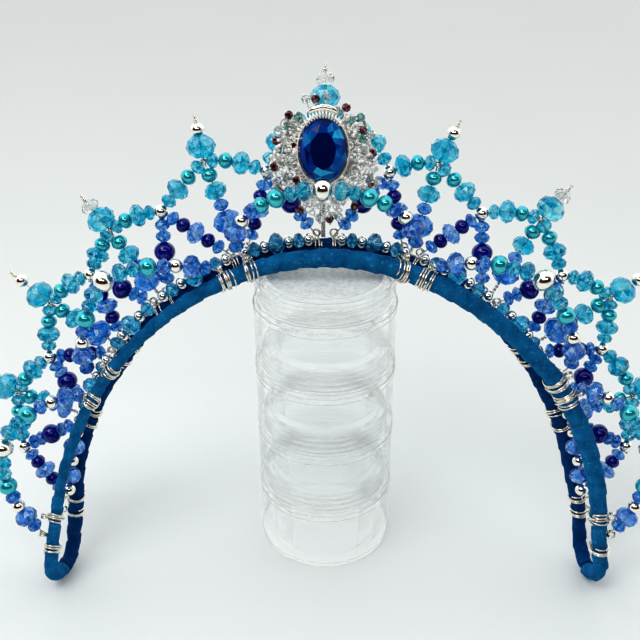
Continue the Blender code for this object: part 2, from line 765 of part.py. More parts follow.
def add_rosette(collection, material, parent) -> None:
    """The pierced rosette behind the stone."""
    data = bpy.data.curves.new("filigree", "CURVE")
    data.dimensions = "2D"
    data.fill_mode = "BOTH"
    data.extrude = ROSETTE_THICKNESS / 2 * MM
    outline = []
    for step in range(ROSETTE_OUTLINE_POINTS):
        degrees = 360.0 * step / ROSETTE_OUTLINE_POINTS
        radius = rosette_radius(degrees)
        turn = math.radians(degrees)
        outline.append((radius * math.cos(turn), radius * math.sin(turn)))
    closed_outline(data, outline)
    for degrees in PETAL_DEGREES:
        for offset, reach, size in PETAL_HOLES:
            turn = math.radians(degrees + offset)
            hole = small_circle(reach * math.cos(turn), reach * math.sin(turn), size)
            closed_outline(data, hole)
    rosette = add_object("filigree", data, collection, material, parent)
    rosette.rotation_euler = (math.radians(90.0), 0.0, 0.0)
    middle = ROSETTE_FRONT_Y + ROSETTE_THICKNESS / 2
    rosette.location = (0.0, middle * MM, GEM_Z * MM)


def add_bar(collection, material, parent) -> None:
    """The curved bar that frames the top of the stone."""
    wide = GEM_WIDTH / 2 + SETTING_WALL + SETTING_CLEARANCE + BAR_CLEARANCE
    tall = wide * SETTING_STRETCH
    turns = np.radians(np.linspace(90 + BAR_HALF_DEGREES, 90 - BAR_HALF_DEGREES, BAR_RINGS))
    depth = ROSETTE_FRONT_Y - FACE_GAP - BAR_RADIUS
    places = [(wide * math.cos(t), depth, GEM_Z + tall * math.sin(t)) for t in turns]
    swell = np.sin(np.linspace(BAR_TAPER_FROM, math.pi - BAR_TAPER_FROM, BAR_RINGS))
    radii = BAR_RADIUS * np.sqrt(swell)
    tube("gem_bar", np.array(places), radii, TUBE_SIDES, collection, material, parent)


def add_stem(collection, material, parent) -> None:
    """The twisted stem that carries the ornament on the rear band."""
    back = ROSETTE_FRONT_Y + ROSETTE_THICKNESS + FACE_GAP + TWIST_RADIUS
    base = base_point(0.0, 0.0, FACE_GAP)
    top = np.array([0.0, back, GEM_Z - STEM_TOP_BELOW_GEM])
    knee = np.array([0.0, back, base[2] + STEM_KNEE_RISE])
    path = bezier(top, knee, knee, base, count=6)
    radii = [TWIST_RADIUS] * len(path)
    tube("stem", path, radii, TUBE_SIDES, collection, material, parent)


def main() -> None:
    """Build the headpiece and its stand."""
    clear_scene()
    collection = bpy.data.collections.new("ballet_headpiece")
    bpy.context.scene.collection.children.link(collection)
    finishes = make_materials()
    frame = bpy.data.objects.new("headpiece_frame", None)
    collection.objects.link(frame)
    frame.location = (0.0, FOOT_Y * MM, 0.0)
    frame.rotation_euler = (-LEAN, 0.0, 0.0)
    add_jars(collection, finishes["clear"])
    add_lid(collection, finishes["clear"])
    add_bands(collection, finishes["cloth"], frame)
    add_points(collection, finishes["teal"], frame)
    add_top_edge_string(collection, finishes["teal"], frame)
    add_edge_strings(collection, finishes["teal"], frame)
    add_centre_strings(collection, finishes["blue"], frame)
    add_fan_strings(collection, finishes["blue"], frame)
    add_front_arches(collection, finishes["teal"], frame)
    add_spacer_chains(collection, finishes["silver"], frame)
    add_rosette(collection, finishes["silver"], frame)
    add_setting(collection, finishes["silver"], frame)
    add_bar(collection, finishes["silver"], frame)
    add_gem(collection, finishes["sapphire"], frame)
    add_stem(collection, finishes["silver"], frame)


main()
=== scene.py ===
"""Looks of a beaded ballet headpiece that leans on a stack of clear jars.

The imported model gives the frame. Each sub-assembly below is a class that strings its beads, bends its
wires and dresses them: the two cloth bound bands, the pointed fan on the rear band, the row of small
arches on the front band, the chain of spacers in the groove, the stone in its pierced rosette, the
silver bindings, and the jars. Lengths are in millimetres until a piece's mesh is placed.
"""

from __future__ import annotations

import logging
import math
import random
from collections.abc import Iterable, Sequence
from dataclasses import dataclass, field
from enum import Enum
from functools import cache

import bmesh
import bpy
import numpy as np
from bmesh.types import BMEdge, BMesh, BMVert
from bpy.types import Material, Mesh, Node, NodeSocket, NodeTree
from mathutils import Matrix, Vector, noise


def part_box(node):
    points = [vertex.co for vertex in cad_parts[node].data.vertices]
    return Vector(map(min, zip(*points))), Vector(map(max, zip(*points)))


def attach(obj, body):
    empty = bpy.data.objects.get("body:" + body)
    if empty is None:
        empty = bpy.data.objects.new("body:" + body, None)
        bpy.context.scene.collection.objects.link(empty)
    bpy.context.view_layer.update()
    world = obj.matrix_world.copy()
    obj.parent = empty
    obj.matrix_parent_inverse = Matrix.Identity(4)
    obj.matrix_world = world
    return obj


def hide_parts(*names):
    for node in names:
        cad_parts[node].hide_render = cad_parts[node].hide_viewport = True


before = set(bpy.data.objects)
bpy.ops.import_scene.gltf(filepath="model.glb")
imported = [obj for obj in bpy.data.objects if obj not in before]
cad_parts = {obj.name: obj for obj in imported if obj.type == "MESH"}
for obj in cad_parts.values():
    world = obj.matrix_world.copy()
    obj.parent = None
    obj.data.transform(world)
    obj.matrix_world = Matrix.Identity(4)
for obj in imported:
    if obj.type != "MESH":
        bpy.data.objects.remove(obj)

Pair = tuple[float, float]
Triple = tuple[float, float, float]
Array = np.ndarray

MM = 0.001
BODY = "root"
PHOTO_SIDE = 640
WAVE_PERIOD = math.tau / 20
WHOLE = (0.0, 1.0)
MIX_SHARE, MIX_FIRST, MIX_SECOND, MIX_RESULT = 0, 6, 7, 2
STRING_WIRE = 0.22
BINDING_RADIUS = 0.26
STRING_SEAT = 0.675
CUT_LEAST = 0.84
ROUND_LEAST = 0.95
MERGE_DISTANCE = 0.001
SIDE_NAMES = {1: "right", -1: "left"}

log = logging.getLogger("headpiece")


def linear(colour: str) -> tuple[float, float, float, float]:
    """Turn an sRGB hex value to linear light.

    Args:
        colour: Six hex digits with a leading hash.

    Returns:
        Red, green, blue and an alpha of 1.
    """
    parts = [int(colour[i : i + 2], 16) / 255 for i in (1, 3, 5)]
    light = [p / 12.92 if p <= 0.04045 else ((p + 0.055) / 1.055) ** 2.4 for p in parts]
    return (light[0], light[1], light[2], 1.0)


def per_length(size: float) -> float:
    """The scale that gives a texture on Object coordinates features of a size in millimetres."""
    return 1.0 / (size * MM)


def add_node(
    tree: NodeTree,
    kind: str,
    settings: dict[str, object] | None = None,
    inputs: dict[str | int, object] | None = None,
) -> Node:
    """Add a shader node, set its properties and fill or link its sockets.

    Args:
        tree: The node tree to add to.
        kind: The node's type name.
        settings: Properties of the node.
        inputs: Socket names or numbers, each with a value or with the socket that feeds it.

    Returns:
        The new node.
    """
    node = tree.nodes.new(kind)
    for name, value in (settings or {}).items():
        setattr(node, name, value)
    for name, value in (inputs or {}).items():
        if isinstance(value, NodeSocket):
            tree.links.new(value, node.inputs[name])
        else:
            node.inputs[name].default_value = value
    return node


def cloud(tree: NodeTree, size: float, detail: float) -> NodeSocket:
    """Soft noise on the object's own coordinates.

    Args:
        tree: The node tree to add to.
        size: The size of its features in millimetres.
        detail: How many finer layers it has.

    Returns:
        The socket with its value.
    """
    place = add_node(tree, "ShaderNodeTexCoord")
    inputs = {"Vector": place.outputs["Object"], "Scale": per_length(size), "Detail": detail}
    return add_node(tree, "ShaderNodeTexNoise", inputs=inputs).outputs["Fac"]


def blend(tree: NodeTree, share: NodeSocket, first: object, second: object) -> NodeSocket:
    """Mix two colours, each a value or the socket that feeds it.

    Args:
        tree: The node tree to add to.
        share: The share of the second colour.
        first: The first colour.
        second: The second colour.

    Returns:
        The socket with the mixed colour.
    """
    inputs = {MIX_SHARE: share, MIX_FIRST: first, MIX_SECOND: second}
    return add_node(tree, "ShaderNodeMix", {"data_type": "RGBA"}, inputs).outputs[MIX_RESULT]


def remapped(tree: NodeTree, value: NodeSocket, before: Pair, after: Pair) -> NodeSocket:
    """Map one range of values to another.

    Args:
        tree: The node tree to add to.
        value: The socket with the value.
        before: The ends of its range.
        after: What they become.

    Returns:
        The socket with the mapped value.
    """
    node = add_node(tree, "ShaderNodeMapRange", inputs={"Value": value})
    for socket, end in zip(("From Min", "From Max", "To Min", "To Max"), (*before, *after)):
        node.inputs[socket].default_value = end
    return node.outputs["Result"]


def bumped(
    tree: NodeTree,
    height: NodeSocket,
    depth: float,
    strength: float,
    under: NodeSocket | None = None,
) -> NodeSocket:
    """Raise a surface by a texture.

    Args:
        tree: The node tree to add to.
        height: The texture's value.
        depth: How deep the relief is, in millimetres.
        strength: How much of it shows.
        under: The relief that it lies on, if any.

    Returns:
        The socket with the raised normal.
    """
    inputs: dict[str | int, object] = {"Height": height, "Distance": depth * MM, "Strength": strength}
    if under is not None:
        inputs["Normal"] = under
    return add_node(tree, "ShaderNodeBump", inputs=inputs).outputs["Normal"]


@dataclass(frozen=True)
class Finish:
    """A finish with one base colour, which the other finishes refine."""

    name: str
    colour: str
    roughness: float = 0.3
    metallic: float = 0.0

    def material(self) -> Material:
        """Build the finish.

        Returns:
            The finished material.
        """
        made = bpy.data.materials.new(self.name)
        made.use_nodes = True
        made.diffuse_color = linear(self.colour)
        shader = made.node_tree.nodes["Principled BSDF"]
        shader.inputs["Base Color"].default_value = linear(self.colour)
        shader.inputs["Roughness"].default_value = self.roughness
        shader.inputs["Metallic"].default_value = self.metallic
        self.dress(made.node_tree, shader)
        return made

    def dress(self, tree: NodeTree, shader: Node) -> None:
        """Add what the finish shows beyond its base colour."""


@dataclass(frozen=True)
class CutGlass(Finish):
    """Machine cut glass bead of one clear colour, each facet painted a random tone from a painted dark
    reflection to a painted glint.
    """

    dark: str = "#000000"
    light: str = "#ffffff"
    transmission: float = 0.72
    ior: float = 1.52
    gloss: float = 0.3
    colour_at: float = 0.45

    def dress(self, tree: NodeTree, shader: Node) -> None:
        """Paint each facet a random tone between the painted dark reflection and the painted glint."""
        facet = add_node(tree, "ShaderNodeAttribute", {"attribute_name": "facet"})
        tones = add_node(tree, "ShaderNodeValToRGB", inputs={"Fac": facet.outputs["Fac"]})
        ramp = tones.color_ramp
        # dark and light are the painted reflection and painted glint colours, not lit by the scene's lamps.
        ramp.elements[0].color = linear(self.dark)
        ramp.elements[1].color = linear(self.light)
        ramp.elements.new(self.colour_at).color = linear(self.colour)
        tree.links.new(tones.outputs["Color"], shader.inputs["Base Color"])
        shader.inputs["Transmission Weight"].default_value = self.transmission
        shader.inputs["IOR"].default_value = self.ior
        shader.inputs["Specular IOR Level"].default_value = self.gloss


@dataclass(frozen=True)
class GlassPearl(Finish):
    """Glass pearl: a soft lustre coat under clear lacquer, slightly uneven as dipped pearls are."""

    deep: str = "#000000"
    speck: float = 1.4
    coat: float = 0.3
    coat_roughness: float = 0.06

    def dress(self, tree: NodeTree, shader: Node) -> None:
        """Cloud the lustre coat and lay the lacquer over it."""
        lustre = blend(tree, cloud(tree, self.speck, detail=3.0), linear(self.deep), linear(self.colour))
        tree.links.new(lustre, shader.inputs["Base Color"])
        shader.inputs["Coat Weight"].default_value = self.coat
        shader.inputs["Coat Roughness"].default_value = self.coat_roughness


@dataclass(frozen=True)
class SilverPlate(Finish):
    """Silver plated metal: bright, with faint draw marks and handling haze that soften highlights."""

    grain: float = 0.5
    haze: float = 0.14
    relief: float = 0.02
    relief_strength: float = 0.5

    def dress(self, tree: NodeTree, shader: Node) -> None:
        """Vary the polish and add the slight unevenness of the plating."""
        marks = cloud(tree, self.grain, detail=4.0)
        polish = (self.roughness - self.haze / 2, self.roughness + self.haze / 2)
        tree.links.new(remapped(tree, marks, WHOLE, polish), shader.inputs["Roughness"])
        raised = bumped(tree, marks, self.relief, self.relief_strength)
        tree.links.new(raised, shader.inputs["Normal"])


@dataclass(frozen=True)
class CottonTape(Finish):
    """Woven cotton bias tape: fine diagonal threads, worn paler flecks, and a soft nap along edges."""

    deep: str = "#000000"
    fleck: str = "#ffffff"
    thread: float = 0.42
    blotch: float = 3.6
    fleck_size: float = 0.9
    thread_height: float = 0.05
    thread_strength: float = 0.8
    thread_turns: Pair = (40.0, -50.0)
    thread_sway: float = 1.2
    worn_range: Pair = (0.6, 0.72)
    worn_most: float = 0.55
    crease_height: float = 0.15
    crease_strength: float = 0.6
    specular: float = 0.12
    sheen: float = 0.06
    sheen_roughness: float = 0.4

    def threads(self, tree: NodeTree, turn: float) -> NodeSocket:
        """One direction of threads on the tape's own UV map, which is in millimetres.

        Args:
            tree: The node tree to add to.
            turn: The threads' angle to the tape in degrees.

        Returns:
            The socket with their height.
        """
        tape = add_node(tree, "ShaderNodeUVMap", {"uv_map": "tape"})
        turned_map = add_node(
            tree,
            "ShaderNodeMapping",
            inputs={"Vector": tape.outputs["UV"], "Rotation": (0.0, 0.0, math.radians(turn))},
        )
        waves = add_node(
            tree,
            "ShaderNodeTexWave",
            inputs={
                "Vector": turned_map.outputs["Vector"],
                "Scale": WAVE_PERIOD / self.thread,
                "Distortion": self.thread_sway,
                "Detail": 1.0,
            },
        )
        return waves.outputs["Fac"]

    def dress(self, tree: NodeTree, shader: Node) -> None:
        """Weave the threads, fade and fleck the dye, and crease the cloth."""
        warp, weft = (self.threads(tree, turn) for turn in self.thread_turns)
        weave = add_node(tree, "ShaderNodeMath", {"operation": "MULTIPLY"}, {0: warp, 1: weft})
        blotches = cloud(tree, self.blotch, detail=5.0)
        dye = blend(tree, blotches, linear(self.deep), linear(self.colour))
        specks = cloud(tree, self.fleck_size, detail=6.0)
        worn = remapped(tree, specks, self.worn_range, (0.0, self.worn_most))
        faded = blend(tree, worn, dye, linear(self.fleck))
        tree.links.new(faded, shader.inputs["Base Color"])
        woven = bumped(tree, weave.outputs["Value"], self.thread_height, self.thread_strength)
        creased = bumped(tree, specks, self.crease_height, self.crease_strength, under=woven)
        tree.links.new(creased, shader.inputs["Normal"])
        shader.inputs["Specular IOR Level"].default_value = self.specular
        shader.inputs["Sheen Weight"].default_value = self.sheen
        shader.inputs["Sheen Roughness"].default_value = self.sheen_roughness
        shader.inputs["Sheen Tint"].default_value = linear(self.fleck)


@dataclass(frozen=True)
class ClearMoulding(Finish):
    """Injection moulded polystyrene: clear, a little cloudy, with faint flow marks."""

    ior: float = 1.12
    transmission: float = 0.97
    alpha: float = 0.36
    ripple: float = 9.0
    ripple_height: float = 0.1
    ripple_strength: float = 0.2
    painted_sheen_mottled: str = ""
    mottle: float = 1.1
    mottle_range: Pair = (0.42, 0.62)

    def dress(self, tree: NodeTree, shader: Node) -> None:
        """Let light through, add the flow marks and, where a mottled tone is given, cloud the face with a
        whitish painted sheen.
        """
        flow = cloud(tree, self.ripple, detail=2.0)
        raised = bumped(tree, flow, self.ripple_height, self.ripple_strength)
        tree.links.new(raised, shader.inputs["Normal"])
        shader.inputs["Transmission Weight"].default_value = self.transmission
        shader.inputs["IOR"].default_value = self.ior
        shader.inputs["Alpha"].default_value = self.alpha
        # A mottled tone, where given, whitens the face as a painted sheen, clouded at random.
        if self.painted_sheen_mottled:
            steep = remapped(tree, cloud(tree, self.mottle, detail=3.0), self.mottle_range, WHOLE)
            tones = blend(tree, steep, linear(self.colour), linear(self.painted_sheen_mottled))
            tree.links.new(tones, shader.inputs["Base Color"])


@dataclass(frozen=True)
class Paper(Finish):
    """Smooth white paper of a photo table, with a very faint mottle."""

    shade: str = "#ffffff"
    mottle: float = 180.0

    def dress(self, tree: NodeTree, shader: Node) -> None:
        """Mottle the sheet a little."""
        tones = blend(tree, cloud(tree, self.mottle, detail=2.0), linear(self.shade), linear(self.colour))
        tree.links.new(tones, shader.inputs["Base Color"])


class Look(Enum):
    """Every finish of the scene."""

    # Cut glass below: dark and light are painted reflection and painted glint tones, taken by the facets at
    # random.
    TEAL_GLASS = CutGlass("teal_cut_glass", "#18caf0", 0.02, dark="#068cbe", light="#b4f8ff")
    # A bluer copy of the teal glass for the chain's beads, painted for the shade between the bands.
    SHADED_TEAL_GLASS = CutGlass("teal_cut_glass_painted_shade", "#30c2f2", 0.02, dark="#0e82c8", light="#b4f0ff")
    BLUE_GLASS = CutGlass("blue_cut_glass", "#2a94f6", 0.02, dark="#0c54ba", light="#b0dcff")
    PALE_GLASS = CutGlass("pale_blue_cut_glass", "#58a6fa", 0.02, dark="#2466cc", light="#c2e2ff")
    CLEAR_GLASS = CutGlass(
        "clear_cut_glass", "#eef4f4", 0.02, dark="#c6d0d0", light="#ffffff", transmission=0.85
    )
    PLUM_GLASS = CutGlass(
        "plum_seed_glass", "#5b2433", 0.05, dark="#1d0a12", light="#c58f93", transmission=0.3
    )
    AQUA_GLASS = CutGlass(
        "aqua_seed_glass", "#7cc6c0", 0.04, dark="#2a7f7c", light="#e6fbf6", transmission=0.6
    )
    # The stone's dark and light are a painted dark reflection and painted glints on its facets.
    SAPPHIRE = CutGlass(
        "foil_backed_sapphire_acrylic",
        "#0a4cae",
        0.03,
        dark="#021450",
        light="#3cccfc",
        transmission=0.15,
        gloss=0.12,
    )
    # The stone's table painted near black: a painted dark reflection on its flat top.
    SAPPHIRE_TABLE = CutGlass(
        "sapphire_table",
        "#01082c",
        0.02,
        dark="#01030e",
        light="#06246c",
        transmission=0.1,
        gloss=0.12,
    )
    TEAL_PEARL = GlassPearl("teal_glass_pearl", "#56ced8", 0.13, 0.65, deep="#3cbac8")
    NAVY_PEARL = GlassPearl("navy_glass_pearl", "#000c9a", 0.1, 0.05, deep="#00066a")
    SILVER_BEAD = SilverPlate("silver_plated_bead", "#fbf7ec", 0.1, 1.0, grain=2.0, haze=0.06)
    SILVER_WIRE = SilverPlate("drawn_silver_wire", "#ece8dd", 0.18, 1.0)
    CAST_SILVER = SilverPlate("cast_silver", "#fffefa", 0.16, 0.4, grain=0.35, haze=0.16, relief=0.05)
    TAPE = CottonTape("blue_cotton_bias_tape", "#2390c8", 0.92, deep="#033468", fleck="#5aacc8")
    # The rear band's tape is the front's tape painted darker: a painted shade for the shade behind the front
    # band.
    PAINTED_SHADE_TAPE = CottonTape("cotton_bias_tape_painted_shade", "#0a548f", 0.92, deep="#032f60", fleck="#2c7cae")
    CLEAR_PLASTIC = ClearMoulding("clear_moulded_polystyrene", "#fdffff", 0.03)
    CLEAR_RIB = ClearMoulding("clear_polystyrene_ribs", "#ffffff", 0.1, transmission=0.45, alpha=0.5)
    FROSTED = ClearMoulding("frosted_polystyrene", "#ffffff", 0.35, transmission=0.05, alpha=0.95)
    # A whitish sheet on the lid: a painted sheen of the room's light, mottled at random.
    PAINTED_SHEEN_MOTTLED = ClearMoulding(
        "mottled_polystyrene_painted_sheen", "#ffffff", 0.5, transmission=0.15, alpha=0.5, painted_sheen_mottled="#dde6e2"
    )
    PAPER = Paper("white_photo_table", "#e6ebea", 0.6, shade="#e1e7e6")


@cache
def material_of(look: Look) -> Material:
    """The material of a look, built at its first use."""
    return look.value.material()


def frames_along(path: Array) -> list[Matrix]:
    """Place a frame at each point of a path without twisting it.

    Args:
        path: The points, one in a row.

    Returns:
        Matrices whose z axis runs along the path.
    """
    tangents = np.gradient(path, axis=0)
    before = Vector(tangents[0]).normalized()
    turn = Vector((0.0, 0.0, 1.0)).rotation_difference(before)
    frames = []
    for point, tangent in zip(path, tangents):
        now = Vector(tangent).normalized()
        turn = before.rotation_difference(now) @ turn
        frames.append(Matrix.Translation(Vector(point)) @ turn.to_matrix().to_4x4())
        before = now
    return frames


def lengths_along(path: Array) -> Array:
    """The distance of each point of a path from its start."""
    return np.concatenate([[0.0], np.cumsum(np.linalg.norm(np.diff(path, axis=0), axis=1))])


def at_distances(path: Array, distances: Sequence[float] | Array) -> Array:
    """The points that lie these distances along a path."""
    along = lengths_along(path)
    return np.column_stack([np.interp(distances, along, path[:, axis]) for axis in range(3)])


def unit(vector: Array) -> Array:
    """The vector at length 1."""
    return vector / np.linalg.norm(vector)


def around(line: Array, sides: Array, others: Array, size: Array | float, turn: Array) -> Array:
    """Wind a path round a line.

    Args:
        line: The points of the line.
        sides: The direction in which the turn starts, one for all points or one for each.
        others: The direction of a quarter turn.
        size: The distance from the line.
        turn: The angle at each point in radians.

    Returns:
        The points of the path.
    """
    path = line + (size * np.cos(turn))[:, None] * sides
    return path + (size * np.sin(turn))[:, None] * others


def bezier(start: Array, first: Array, second: Array, end: Array, count: int) -> Array:
    """Points of a cubic curve.

    Args:
        start: Its first point.
        first: The handle of the first point.
        second: The handle of the last point.
        end: Its last point.
        count: How many points to give.

    Returns:
        The points, one in a row.
    """
    t = np.linspace(0.0, 1.0, count)[:, None]
    s = 1.0 - t
    return s**3 * start + 3 * s * s * t * first + 3 * s * t * t * second + t**3 * end


def swept(path: Array, radii: Sequence[float] | float, sides: int) -> BMesh:
    """Draw a ring along a path and close its ends.

    Args:
        path: The points of the centreline.
        radii: The radius at each point, or one for all.
        sides: The ring's sides.

    Returns:
        The bmesh with the closed tube. Its vertex layer "along" holds the distance from the start.
    """
    shape = bmesh.new()
    along = shape.verts.layers.float.new("along")
    sizes = np.full(len(path), radii) if isinstance(radii, (int, float)) else radii
    places = [frame @ Matrix.Scale(size, 4) for frame, size in zip(frames_along(path), sizes)]
    marks = lengths_along(path)
    ring = bmesh.ops.create_circle(shape, segments=sides, radius=1.0, cap_ends=True)["verts"]
    edges = list({edge for vert in ring for edge in vert.link_edges})
    bmesh.ops.transform(shape, matrix=places[0], verts=ring)
    for last, place, mark in zip(places, places[1:], marks[1:]):
        grown = bmesh.ops.extrude_edge_only(shape, edges=edges)["geom"]
        ring = [item for item in grown if isinstance(item, BMVert)]
        fresh = set(ring)
        edges = [item for item in grown if isinstance(item, BMEdge) and fresh.issuperset(item.verts)]
        bmesh.ops.transform(shape, matrix=place @ last.inverted(), verts=ring)
        for vert in ring:
            vert[along] = mark
    bmesh.ops.contextual_create(shape, geom=edges)
    bmesh.ops.recalc_face_normals(shape, faces=shape.faces)
    return shape


def turned(profile: Iterable[Pair], steps: int) -> BMesh:
    """Spin a profile round the z axis.

    Args:
        profile: Its radius and height pairs.
        steps: How many steps the turn takes.

    Returns:
        The bmesh with the turned shape.
    """
    shape = bmesh.new()
    verts = [bmesh.ops.create_vert(shape, co=(r, 0.0, z))["vert"][0] for r, z in profile]
    edges = [shape.edges.new(pair) for pair in zip(verts, verts[1:])]
    bmesh.ops.spin(
        shape,
        geom=verts + edges,
        axis=(0, 0, 1),
        cent=(0, 0, 0),
        angle=math.tau,
        steps=steps,
        use_merge=True,
    )
    bmesh.ops.remove_doubles(shape, verts=shape.verts, dist=MERGE_DISTANCE)
    bmesh.ops.recalc_face_normals(shape, faces=shape.faces)
    return shape


def smooth(shape: BMesh) -> BMesh:
    """Shade all faces of a bmesh smooth."""
    for face in shape.faces:
        face.smooth = True
    return shape


def as_mesh(shape: BMesh, name: str) -> Mesh:
    """Turn a bmesh to a mesh and free it."""
    data = bpy.data.meshes.new(name)
    shape.to_mesh(data)
    shape.free()
    return data


class Form(Enum):
    """How a bead is shaped."""

    CUT = "cut"
    ROUND = "round"


@dataclass(frozen=True)
class BeadSize:
    """A bead's length on its wire, its radius, form and finish."""

    length: float
    radius: float
    form: Form
    look: Look


class Bead(Enum):
    """The kinds of beads that the maker strung."""

    TEAL_4 = BeadSize(3.1, 2.21, Form.CUT, Look.TEAL_GLASS)
    TEAL_5 = BeadSize(3.8, 2.70, Form.CUT, Look.TEAL_GLASS)
    TEAL_6 = BeadSize(4.5, 3.29, Form.CUT, Look.TEAL_GLASS)
    TEAL_8 = BeadSize(6.1, 4.13, Form.CUT, Look.TEAL_GLASS)
    BLUE_4 = BeadSize(3.1, 2.21, Form.CUT, Look.BLUE_GLASS)
    BLUE_8 = BeadSize(6.1, 4.13, Form.CUT, Look.BLUE_GLASS)
    PALE_6 = BeadSize(4.5, 3.29, Form.CUT, Look.PALE_GLASS)
    CLEAR_5 = BeadSize(3.5, 2.59, Form.CUT, Look.CLEAR_GLASS)
    CLEAR_SEED = BeadSize(1.9, 1.1, Form.CUT, Look.CLEAR_GLASS)
    PLUM_SEED = BeadSize(1.9, 1.1, Form.CUT, Look.PLUM_GLASS)
    AQUA_SEED = BeadSize(1.9, 1.1, Form.CUT, Look.AQUA_GLASS)
    PEARL_4 = BeadSize(3.9, 2.26, Form.ROUND, Look.TEAL_PEARL)
    PEARL_5 = BeadSize(4.8, 2.60, Form.ROUND, Look.TEAL_PEARL)
    NAVY_4 = BeadSize(3.9, 2.16, Form.ROUND, Look.NAVY_PEARL)
    NAVY_6 = BeadSize(5.7, 2.95, Form.ROUND, Look.NAVY_PEARL)
    # Bluer teal beads of the chain, painted for the shade in the groove between the bands.
    SHADED_TEAL_4 = BeadSize(3.1, 2.21, Form.CUT, Look.SHADED_TEAL_GLASS)
    SHADED_TEAL_6 = BeadSize(4.5, 3.24, Form.CUT, Look.SHADED_TEAL_GLASS)
    SILVER_3 = BeadSize(3.0, 1.75, Form.ROUND, Look.SILVER_BEAD)
    SILVER_4 = BeadSize(3.7, 1.95, Form.ROUND, Look.SILVER_BEAD)
    SILVER_6 = BeadSize(6.0, 3.0, Form.ROUND, Look.SILVER_BEAD)
    KNURL = BeadSize(0.56, 0.28, Form.ROUND, Look.FROSTED)
    GRANULE = BeadSize(0.9, 0.45, Form.ROUND, Look.CAST_SILVER)


@dataclass(frozen=True)
class BeadCutter:
    """Makes the mesh of each kind of bead once."""

    rings: tuple[Triple, ...] = (
        (-0.5, 0.4, 0.0),
        (-0.29, 0.84, 0.5),
        (0.0, 1.0, 0.0),
        (0.29, 0.84, 0.5),
        (0.5, 0.4, 0.0),
    )
    facets: tuple[tuple[float, int], ...] = ((1.5, 6), (2.8, 8), (math.inf, 10))
    end_slope: float = 0.9
    # Flat ends get the dark end of the facet tones: a painted dark reflection.
    end_painted_dark_tone: float = -0.75
    small: float = 1.0
    small_steps: tuple[int, int] = (10, 6)
    steps: tuple[int, int] = (20, 12)
    made: dict[Bead, Mesh] = field(default_factory=dict)

    def sides(self, radius: float) -> int:
        """Facets round a cut bead of a radius."""
        return next(count for limit, count in self.facets if radius < limit)

    def cut(self, size: BeadSize) -> BMesh:
        """Cut a bead's facets as the hull of turned rings.

        Args:
            size: The bead's sizes.

        Returns:
            The closed bead round its own z axis.
        """
        shape = bmesh.new()
        sides = self.sides(size.radius)
        for height, share, turn in self.rings:
            for step in range(sides):
                angle = math.tau * (step + turn) / sides
                x = share * size.radius * math.cos(angle)
                y = share * size.radius * math.sin(angle)
                bmesh.ops.create_vert(shape, co=(x, y, height * size.length))
        bmesh.ops.convex_hull(shape, input=shape.verts)
        bmesh.ops.recalc_face_normals(shape, faces=shape.faces)
        facet = shape.faces.layers.float.new("facet")
        # Flat end faces are painted dark; the belt facets are left for a random painted reflection tone.
        for face in shape.faces:
            face[facet] = self.end_painted_dark_tone if abs(face.normal.z) > self.end_slope else 0.0
        return shape

    def rounded(self, size: BeadSize) -> BMesh:
        """Turn a round bead.

        Args:
            size: The bead's sizes.

        Returns:
            The closed bead round its own z axis.
        """
        shape = bmesh.new()
        around, up = self.small_steps if size.radius < self.small else self.steps
        bmesh.ops.create_uvsphere(shape, u_segments=around, v_segments=up, radius=size.radius)
        bmesh.ops.scale(shape, verts=shape.verts, vec=(1.0, 1.0, size.length / 2 / size.radius))
        return smooth(shape)

    def mesh(self, bead: Bead) -> Mesh:
        """The mesh of a bead, made at its first use."""
        if bead not in self.made:
            size = bead.value
            shape = self.cut(size) if size.form is Form.CUT else self.rounded(size)
            self.made[bead] = as_mesh(shape, f"bead_{bead.name.lower()}")
        return self.made[bead]


CUTTER = BeadCutter()


def strung_length(beads: Sequence[Bead]) -> float:
    """The length that beads take on a wire."""
    return sum(bead.value.length for bead in beads)


@dataclass(frozen=True)
class Coil:
    """A small coil's radius, its turns and the distance from turn to turn."""

    radius: float
    turns: float
    pitch: float


